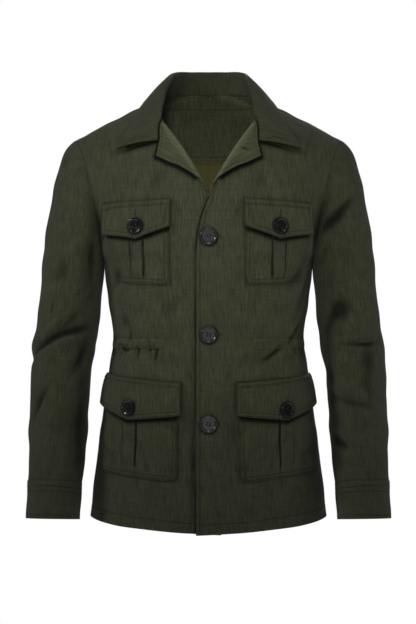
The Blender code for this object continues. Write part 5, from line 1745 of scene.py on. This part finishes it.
# ---- pockets
@dataclass(frozen=True)
class Pocket:
    """A patch pocket with a raised box pleat, and the pointed flap over it.

    Distances run along the cloth from the centre front; drops are measured down from the
    flap's top edge, which rises by ``slant`` towards the side.
    """

    name: str
    inner: float
    outer: float
    top: float
    slant: float
    bag_top: float
    bag_drop: float
    corner: float
    pleat: float
    pleat_width: float
    flap_inner: float
    flap_point: float
    flap_outer: float
    rise: float
    inset: float
    pleat_end: float
    button_drop: float
    slit: tuple[float, float, float, float]

    @property
    def side(self) -> Side:
        """The side it is sewn to."""
        return Side.LEFT if self.name.endswith("left") else Side.RIGHT

    @property
    def bag_sides(self) -> tuple[float, float]:
        """Where the patch under the flap begins and ends."""
        return self.inner + self.inset, self.outer - self.inset

    def height(self, cloth: Array, drop: Array) -> Array:
        """Heights of places on the pocket, which follow the slant of its top edge."""
        return self.top + self.slant * (cloth - self.inner) / (self.outer - self.inner) - drop

    def flap_drop(self, cloth: Array) -> Array:
        """How far the flap hangs along its top edge."""
        return np.interp(cloth, [self.inner, self.pleat, self.outer],
                         [self.flap_inner, self.flap_point, self.flap_outer])

    @staticmethod
    def depth(panel: Panel, cloth: Array, z: Array) -> Array:
        """How deep the front's creases lie under places on the pocket."""
        v = panel.height(z.ravel())
        return panel.pressing(v, cloth.ravel() - panel.columns(v)[:, 0]).reshape(cloth.shape)

    def outlines(self, panel: Panel) -> list[Array]:
        """The flap's edge and the bag's sides as lines on the front under them."""
        left, right = self.bag_sides
        across = np.concatenate([np.full(25, self.inner), np.linspace(self.inner, self.outer, 70),
                                 np.full(25, self.outer), np.linspace(self.outer, self.inner, 70)])
        share = np.concatenate([np.linspace(0, 1, 25), np.ones(70), np.linspace(1, 0, 25),
                                np.zeros(70)])
        sides = np.concatenate([np.full(40, left), np.linspace(left, right, 50),
                                np.full(40, right)])
        fall = np.concatenate([np.linspace(0.3, 1, 40), np.ones(50), np.linspace(1, 0.3, 40)])
        lines = ((across, (self.flap_drop(across) + 0.0012) * share),
                 (sides, fall * self.bag_drop + 0.0008))
        return [panel.spots(cloth, self.height(cloth, drop))[0] for cloth, drop in lines]

    def rounded(self, cloth: Array, drop: Array) -> tuple[Array, Array]:
        """A square grid of places drawn in to the patch's rounded lower corners.

        Args:
            cloth: Distances along the cloth.
            drop: Drops below the top edge.

        Returns:
            The distances along the cloth, and each place's distance from the patch's edge.
        """
        (left, right), corner = self.bag_sides, self.corner
        low = np.clip(drop - (self.bag_drop - corner), 0.0, corner)
        cut = 0.93 * (corner - np.sqrt(np.maximum(corner ** 2 - low ** 2, 0.0)))
        keep = (corner - cut) / corner
        here = np.where(cloth < left + corner, left + cut + (cloth - left) * keep, cloth)
        here = np.where(cloth > right - corner, right - cut - (right - cloth) * keep, here)
        side_gap = np.minimum(here - left, right - here)
        bottom_gap = self.bag_drop - drop
        x, y = corner - side_gap, corner - bottom_gap
        edge = np.where((x > 0) & (y > 0), corner - np.hypot(x, y),
                        np.minimum(side_gap, bottom_gap))
        return here, np.maximum(edge, 0.0)

    def bag(self, panel: Panel, sewing: Threadwork) -> None:
        """The patch with its pleat, hem and stitches."""
        (left, right), half, ramp = self.bag_sides, self.pleat_width / 2, PLEAT_RAMP
        fold_stops = [-half - 2 * ramp, -half - ramp, -half, -half + 0.0012, -half + 0.0024]
        stops = [left, left + self.corner] + [self.pleat + stop for stop in fold_stops]
        stops += [self.pleat - stop for stop in fold_stops[::-1]] + [right - self.corner, right]
        columns = np.array(spread(stops, 0.0022))
        drops = np.array(spread([self.bag_top, self.bag_drop - self.corner, self.bag_drop],
                                0.0024))
        cloth, drop = np.meshgrid(columns, drops)
        here, edge = self.rounded(cloth, drop)
        z = self.height(here, drop)
        from_pleat = np.abs(here - self.pleat) - half
        raised = held((ramp - from_pleat) / ramp)
        groove = 0.0010 * bell(from_pleat - 1.6 * ramp, 0.0012)
        ending = np.clip((self.pleat_end - drop) / 0.003, 0.25, 1.0)
        middle = 0.0002 * bell(here - self.pleat, 0.0012)
        puff = 0.0007 * held(edge / 0.008) + 0.0005 * bell(edge - 0.0042, 0.0018)
        sag = np.abs(0.0019 * np.sin(here * 95.0 + 0.7) * np.sin(drop * 60.0 + here * 30.0))
        free = held((drop - self.flap_point) / 0.004)
        lift = (PATCH_GAP + CLOTH + raised * ((PLEAT_RISE + 0.0009 * free) * ending - middle)
                - groove * free * ending + puff + sag * held(edge / 0.012))
        high, normals = panel.spots(here, z, lift)
        low, _ = panel.spots(here, z, np.full(here.size, PATCH_GAP))
        # Painted shadow under the flap's edge, and painted shade beside the pleat and in the
        # creases.
        under = bell(held(drop - self.flap_drop(here)), 0.0056)
        crease = 0.70 * ending * bell(from_pleat - 1.5 * ramp, 0.0016)
        troughs = shaded(self.depth(panel, here, z) + 0.0012 - 1.8 * sag)
        pleat = np.abs(from_pleat - ramp) + held(drop - self.pleat_end)
        dress(Shell("pocket_" + self.name, high, low, grid_faces(*here.shape), (here, z), edge,
                    pleat, np.maximum(np.minimum(1.0, 2.2 * under), crease + troughs)),
              PATCH_FINISH)
        grid, up = high.reshape(here.shape + (3,)), normals.reshape(here.shape + (3,))
        self.trace(sewing, grid, up, edge)
        rows = (drops < self.pleat_end) & (drops > self.flap_point + 0.002)
        for offset in (-half + 0.0012, half - 0.0012):
            column = int(np.argmin(np.abs(columns - self.pleat - offset)))
            sewing.run(grid[rows, column], up[rows, column])

    @staticmethod
    def trace(sewing: Threadwork, grid: Array, up: Array, edge: Array) -> None:
        """Two rows of stitches down one side of a patch, along its bottom and up the other."""
        rows, columns = edge.shape
        middle = columns // 2
        for inset in (PATCH_FINISH.edge_line, PATCH_FINISH.inner_line):
            row = int(np.argmax(np.append(edge[:, middle], 0.0) <= inset))
            down = [(r, min(int(np.searchsorted(edge[r, :middle + 1], inset)), middle))
                    for r in range(row)]
            back = [(r, max(columns - 1 - int(np.searchsorted(edge[r, middle:][::-1], inset)),
                            middle)) for r in range(row - 1, -1, -1)]
            bottom = [min(int(np.searchsorted(-edge[:, c], -inset)), rows - 1)
                      for c in range(columns)]
            last = grid[min(row, rows - 1)] - grid[down[-1]]
            start = int(np.argmin(np.linalg.norm(last, axis=1)))
            path = down + [(bottom[c], c) for c in range(start + 1, columns - 1 - start)] + back
            sewing.run([grid[place] for place in path], [up[place] for place in path])

    def flap(self, panel: Panel, sewing: Threadwork) -> None:
        """The flap with its stitches and its buttonhole."""
        columns = spread([self.inner, self.pleat, self.outer], 0.0020)
        cloth, share = np.meshgrid(columns, np.linspace(0, 1, 34))
        fall = self.flap_drop(cloth)
        drop = fall * share
        slope = np.where(cloth <= self.pleat,
                         (self.flap_point - self.flap_inner) / (self.pleat - self.inner),
                         (self.flap_point - self.flap_outer) / (self.outer - self.pleat))
        bottom_gap = (fall - drop) / np.hypot(1.0, slope)
        side_gap = np.minimum(cloth - self.inner, self.outer - cloth)
        edge = np.minimum(bottom_gap, side_gap)
        climb = np.minimum(1.0, 0.3 + share / 0.20)
        puff = 0.0010 * bell(edge - 0.0038, 0.0018)
        corner = held(1.0 - side_gap / 0.030) * share ** 2
        over = CLOTH + PLEAT_RISE + LAYER_GAP + self.rise * share + 0.0006
        lift = PATCH_GAP + over * climb + 0.0014 * share ** 2 + 0.0018 * corner
        tuck = 0.0010 * bell(drop - FLAP_FINISH.hem_line, 0.0014)
        z = self.height(cloth, drop)
        # Distance from the button, then the painted shade round it.
        button_shade = np.hypot(cloth - self.pleat, drop - self.button_drop - 0.0008)
        button_shade = bell(button_shade - POCKET_BUTTON_RADIUS, 0.0020)
        low, _ = panel.spots(cloth, z, lift)
        high, normals = panel.spots(cloth, z, lift + FLAP + puff - tuck)
        dress(Shell("flap_" + self.name, high, low, grid_faces(*cloth.shape), (cloth, z),
                    np.minimum(edge, drop), drop,
                    np.maximum(shaded(self.depth(panel, cloth, z)), button_shade)),
              FLAP_FINISH)
        grid, up = high.reshape(cloth.shape + (3,)), normals.reshape(cloth.shape + (3,))
        self.trace(sewing, grid, up, edge)
        pick = np.arange(1, len(columns) - 1)
        for down in (FLAP_FINISH.edge_line, FLAP_FINISH.hem_line):
            row = np.argmin(np.abs(drop[:, pick] - down), axis=0)
            sewing.run(grid[row, pick], up[row, pick])
        x, y, lean, length = self.slit
        places = np.abs(cloth - self.pleat - x) + np.abs(drop - y)
        nearest = np.unravel_index(int(np.argmin(places)), cloth.shape)
        way = np.array([math.cos(math.radians(lean)), 0.0, math.sin(math.radians(lean))])
        sewing.slit(grid[nearest], way, up[nearest], length)

    def button_place(self, panel: Panel) -> tuple[Array, Array]:
        """The centre and outward normal of the flap's button."""
        share = self.button_drop / self.flap_point
        lift = (PATCH_GAP + CLOTH + PLEAT_RISE + LAYER_GAP + self.rise * share
                + 0.0014 * share ** 2 + 0.0006 + FLAP + 0.0004)
        centre, normal = panel.spots(self.pleat, self.height(self.pleat, self.button_drop), lift)
        return centre[0], normal[0]

    def build(self, panel: Panel) -> None:
        """The pocket, its flap and their stitches."""
        sewing = Threadwork("pocket_stitches_" + self.name)
        self.bag(panel, sewing)
        self.flap(panel, sewing)
        sewing.build()


def spread(stops: Sequence[float], widest: float) -> list[float]:
    """The stops with even steps between them, none wider than a limit."""
    found = [stops[0]]
    for low, high in zip(stops, stops[1:]):
        steps = max(1, math.ceil((high - low) / widest - 1e-9))
        found += [low + (high - low) * (i + 1) / steps for i in range(steps)]
    return found


CHEST_LEFT = Pocket("chest_left", 0.0560, 0.1690, -0.1375, 0.0030, 0.0145, 0.1410, 0.0110, 0.1140,
                    0.0215, 0.0430, 0.0590, 0.0465, 0.0012, 0.0020, 0.132, 0.0390,
                    (0.0, 0.0215, 90.0, 0.014))
HIP_LEFT = Pocket("hip_left", 0.0430, 0.2020, -0.4340, 0.0060, 0.0180, 0.1560, 0.0140, 0.1270,
                  0.0225, 0.0520, 0.0670, 0.0500, 0.0016, 0.0060, 0.140, 0.0500,
                  (0.004, 0.0330, 80.0, 0.016))
POCKETS = (
    CHEST_LEFT,
    replace(CHEST_LEFT, name="chest_right", inner=0.0600, outer=0.1720, pleat=0.1160),
    HIP_LEFT,
    replace(HIP_LEFT, name="hip_right", pleat=0.1300, button_drop=0.0475,
            slit=(-0.012, 0.0380, 60.0, 0.018)),
)


# ---- buttons
@dataclass
class ButtonMaker:
    """Models one four-hole button and sets copies of it on the jacket."""

    radius: float
    sewing: Threadwork
    depth: float = 0.0034
    rim: float = 0.0021
    bevel: float = 0.0006
    hole: float = 0.00125
    spacing: float = 0.0031
    thread: float = 0.00075

    def model(self) -> bpy.types.Object:
        """The button at the origin, face up, shaped from a disc with its rim, dish and holes."""
        bpy.ops.object.select_all(action="DESELECT")
        bpy.ops.mesh.primitive_cylinder_add(vertices=48, radius=self.radius, depth=self.depth,
                                            location=(0.0, 0.0, self.depth / 2))
        disc = bpy.context.object
        bpy.ops.object.transform_apply(location=True, rotation=False, scale=False)
        bpy.ops.object.mode_set(mode="EDIT")
        self.pick_face(disc, 1.0)
        for thickness, drop in ((self.rim, 0.0), (0.0011, -0.0012), (0.0009, 0.0003),
                                (0.0022, -0.0004)):
            bpy.ops.mesh.inset(thickness=thickness, depth=0.0)
            bpy.ops.transform.translate(value=(0.0, 0.0, drop))
        self.pick_face(disc, -1.0)
        bpy.ops.mesh.inset(thickness=self.rim * 1.4, depth=0.0)
        bpy.ops.object.mode_set(mode="OBJECT")
        soft = disc.modifiers.new("Soft edges", "BEVEL")
        soft.width, soft.segments, soft.angle_limit = self.bevel, 3, math.radians(35)
        bpy.ops.object.modifier_apply(modifier=soft.name)
        for i in range(4):
            angle = math.pi / 4 + math.pi / 2 * i
            self.drill(disc, math.cos(angle) * self.spacing, math.sin(angle) * self.spacing)
        disc.data.shade_smooth()
        disc.data.set_sharp_from_angle(angle=math.radians(40))
        disc.data.materials.clear()
        disc.data.materials.append(BUTTON_FINISH.make())
        return disc

    @staticmethod
    def pick_face(disc: bpy.types.Object, way: float) -> None:
        """Selects the one face at the very top, or at the very bottom, in edit mode."""
        body = bmesh.from_edit_mesh(disc.data)
        bpy.ops.mesh.select_all(action="DESELECT")
        bpy.ops.mesh.select_mode(type="FACE")
        body.faces.ensure_lookup_table()
        best = max(body.faces, key=lambda f: f.calc_center_median().z * way + f.calc_area())
        best.select = True
        body.faces.active = best
        bmesh.update_edit_mesh(disc.data)

    def drill(self, disc: bpy.types.Object, x: float, y: float) -> None:
        """A thread hole cut right through."""
        bpy.ops.object.select_all(action="DESELECT")
        bpy.ops.mesh.primitive_cylinder_add(vertices=16, radius=self.hole, depth=0.02,
                                            location=(x, y, 0.0))
        cutter = bpy.context.object
        cut = disc.modifiers.new("Thread hole", "BOOLEAN")
        cut.operation, cut.object = "DIFFERENCE", cutter
        bpy.context.view_layer.objects.active = disc
        bpy.ops.object.modifier_apply(modifier=cut.name)
        bpy.data.objects.remove(cutter)

    def place(self, model: bpy.types.Object, node: str, centre: Array, normal: Array) -> None:
        """A copy of the button set on the cloth, with its threads, in place of its solid."""
        turn = Vector((0, 0, 1)).rotation_difference(Vector(normal)).to_matrix().to_4x4()
        move = Matrix.Translation(Vector(centre)) @ turn
        mesh = model.data.copy()
        mesh.transform(move)
        made = bpy.data.objects.new(node + "_dressed", mesh)
        bpy.context.collection.objects.link(made)
        hand_over(made, node)
        s = self.spacing / math.sqrt(2)
        for x in (-s, s):
            bar = [move @ Vector((x, s * (2 * share - 1), self.depth - 0.0013))
                   for share in (0.0, 0.15, 0.85, 1.0)]
            self.sewing.bars(np.array([bar]), np.array(normal), self.thread)

    def build(self, places: dict[str, tuple[Array, Array]]) -> None:
        """One model, copied to its places, which are given by their nodes."""
        model = self.model()
        for node, (centre, normal) in places.items():
            self.place(model, node, centre, normal)
        bpy.data.objects.remove(model)


@dataclass
class Buttons:
    """The three front buttons and the four flap buttons."""

    fronts: dict[Side, Panel]

    def build(self) -> None:
        """Both sizes of button, set on their places."""
        sewing = Threadwork("button_threads", HOLE_THREAD_FINISH)
        places = {}
        for number, z in enumerate(FRONT_BUTTON_HEIGHTS, 1):
            centre, normal = self.fronts[Side.LEFT].spots(0.0, z, 0.0005)
            places[f"button_front_{number}"] = centre[0], normal[0]
        ButtonMaker(FRONT_BUTTON_RADIUS, sewing).build(places)
        places = {"button_" + pocket.name: pocket.button_place(self.fronts[pocket.side])
                  for pocket in POCKETS}
        ButtonMaker(POCKET_BUTTON_RADIUS, sewing).build(places)
        sewing.build("black_button")


# ---- stage, light and camera
@dataclass(frozen=True)
class Lamp:
    """A soft square lamp, aimed at a place.

    ``beam`` is how wide its light opens, in degrees, and ``shine`` whether polished things
    reflect it.
    """

    name: str
    place: tuple[float, float, float]
    size: float
    power: float
    aim: tuple[float, float, float]
    beam: float = 180.0
    shine: bool = True

    def build(self) -> None:
        """The lamp, hung at its place."""
        data = bpy.data.lights.new(self.name, "AREA")
        data.size, data.energy, data.spread = self.size, self.power, math.radians(self.beam)
        lamp = bpy.data.objects.new(self.name, data)
        lamp.location, lamp.visible_glossy = self.place, self.shine
        way = Vector(self.aim) - Vector(self.place)
        lamp.rotation_euler = way.to_track_quat("-Z", "Y").to_euler()
        bpy.context.collection.objects.link(lamp)


LAMPS = (
    Lamp("left lamp", (-1.7, -0.8, 0.6), 0.45, 16.5, (-0.1, 0.0, -0.25)),
    Lamp("right lamp", (2.0, -0.4, -0.1), 0.8, 13.0, (0.2, 0.0, -0.35), shine=False),
    Lamp("front card", (0.0, -2.8, -0.2), 2.2, 8.0, (0.0, -0.1, -0.3)),
    Lamp("top lamp", (0.1, -1.0, 1.3), 0.4, 5.0, (0.0, -0.1, -0.2)),
    Lamp("chest lamp", (-0.15, -1.9, 0.15), 0.3, 0.62, (0.0, -0.1, -0.18), 26.0, False),
    Lamp("back lamp", (0.3, 2.2, 0.9), 1.6, 60.0, (0.0, 0.0, -0.3)),
)


@dataclass
class Studio:
    """A pale floor, soft light and a camera that looks as the photograph does."""

    floor_height: float = -1.10
    floor_size: float = 2.3
    eye: tuple[float, float, float] = (-0.0008, -2.4, -0.3201)
    lens: float = 83.92
    surround_light: float = 0.040

    def floor(self) -> None:
        """A plain pale floor far below the jacket."""
        bpy.ops.object.select_all(action="DESELECT")
        bpy.ops.mesh.primitive_plane_add(size=self.floor_size,
                                         location=(0.0, 0.0, self.floor_height))
        floor = bpy.context.object
        floor.name = "studio_floor"
        floor.data.materials.append(FLOOR_FINISH.make())

    def camera(self) -> None:
        """The camera, square to the front at the jacket's mid height."""
        data = bpy.data.cameras.new("camera")
        data.sensor_width, data.lens, data.clip_end = 36.0, self.lens, 60.0
        camera = bpy.data.objects.new("camera", data)
        camera.location = self.eye
        camera.rotation_euler = (math.radians(90), 0.0, 0.0)
        bpy.context.collection.objects.link(camera)
        bpy.context.scene.camera = camera

    def surround(self) -> None:
        """A white surround for the camera that lights the jacket only softly."""
        world = bpy.data.worlds.new("studio")
        world.use_nodes = True
        nodes = Nodes(world.node_tree)
        lit, seen = nodes.add("ShaderNodeBackground"), nodes.add("ShaderNodeBackground")
        for light, strength in ((lit, self.surround_light), (seen, 1.0)):
            nodes.fill(light, {"Strength": strength, "Color": (1.0, 1.0, 1.0, 1.0)})
        path, mix = nodes.add("ShaderNodeLightPath"), nodes.add("ShaderNodeMixShader")
        nodes.fill(mix, {0: path.outputs["Is Camera Ray"], 1: lit.outputs[0],
                         2: seen.outputs[0]})
        nodes.fill(nodes.add("ShaderNodeOutputWorld"), {"Surface": mix.outputs[0]})
        bpy.context.scene.world = world

    def build(self) -> None:
        """Everything round the jacket."""
        self.camera()
        self.floor()
        self.surround()
        bpy.context.scene.view_settings.view_transform = "Standard"
        for lamp in LAMPS:
            lamp.build()


def main() -> None:
    """Dresses the jacket, piece by piece, and hands it to the frame."""
    logging.basicConfig(level=logging.INFO, format="%(message)s")
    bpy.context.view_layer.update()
    Studio().build()
    fronts = {side: Panel(FRONT_ROWS, FRONT_GATHERS, FRONT_CREASES[side], side,
                          0.0 if side is Side.LEFT else UNDERLAP_DROP) for side in Side}
    back = Panel(BACK_ROWS, BACK_GATHERS, BACK_CREASES, front=False)
    for side, panel in fronts.items():
        Front(side, panel).build()
    Back(back).build()
    for side in Side:
        Sleeve(side, fronts[Side.LEFT], back).build()
    Collar(fronts[Side.LEFT], back).build()
    for pocket in POCKETS:
        pocket.build(fronts[pocket.side])
    Buttons(fronts).build()


if __name__ == "__main__":
    main()
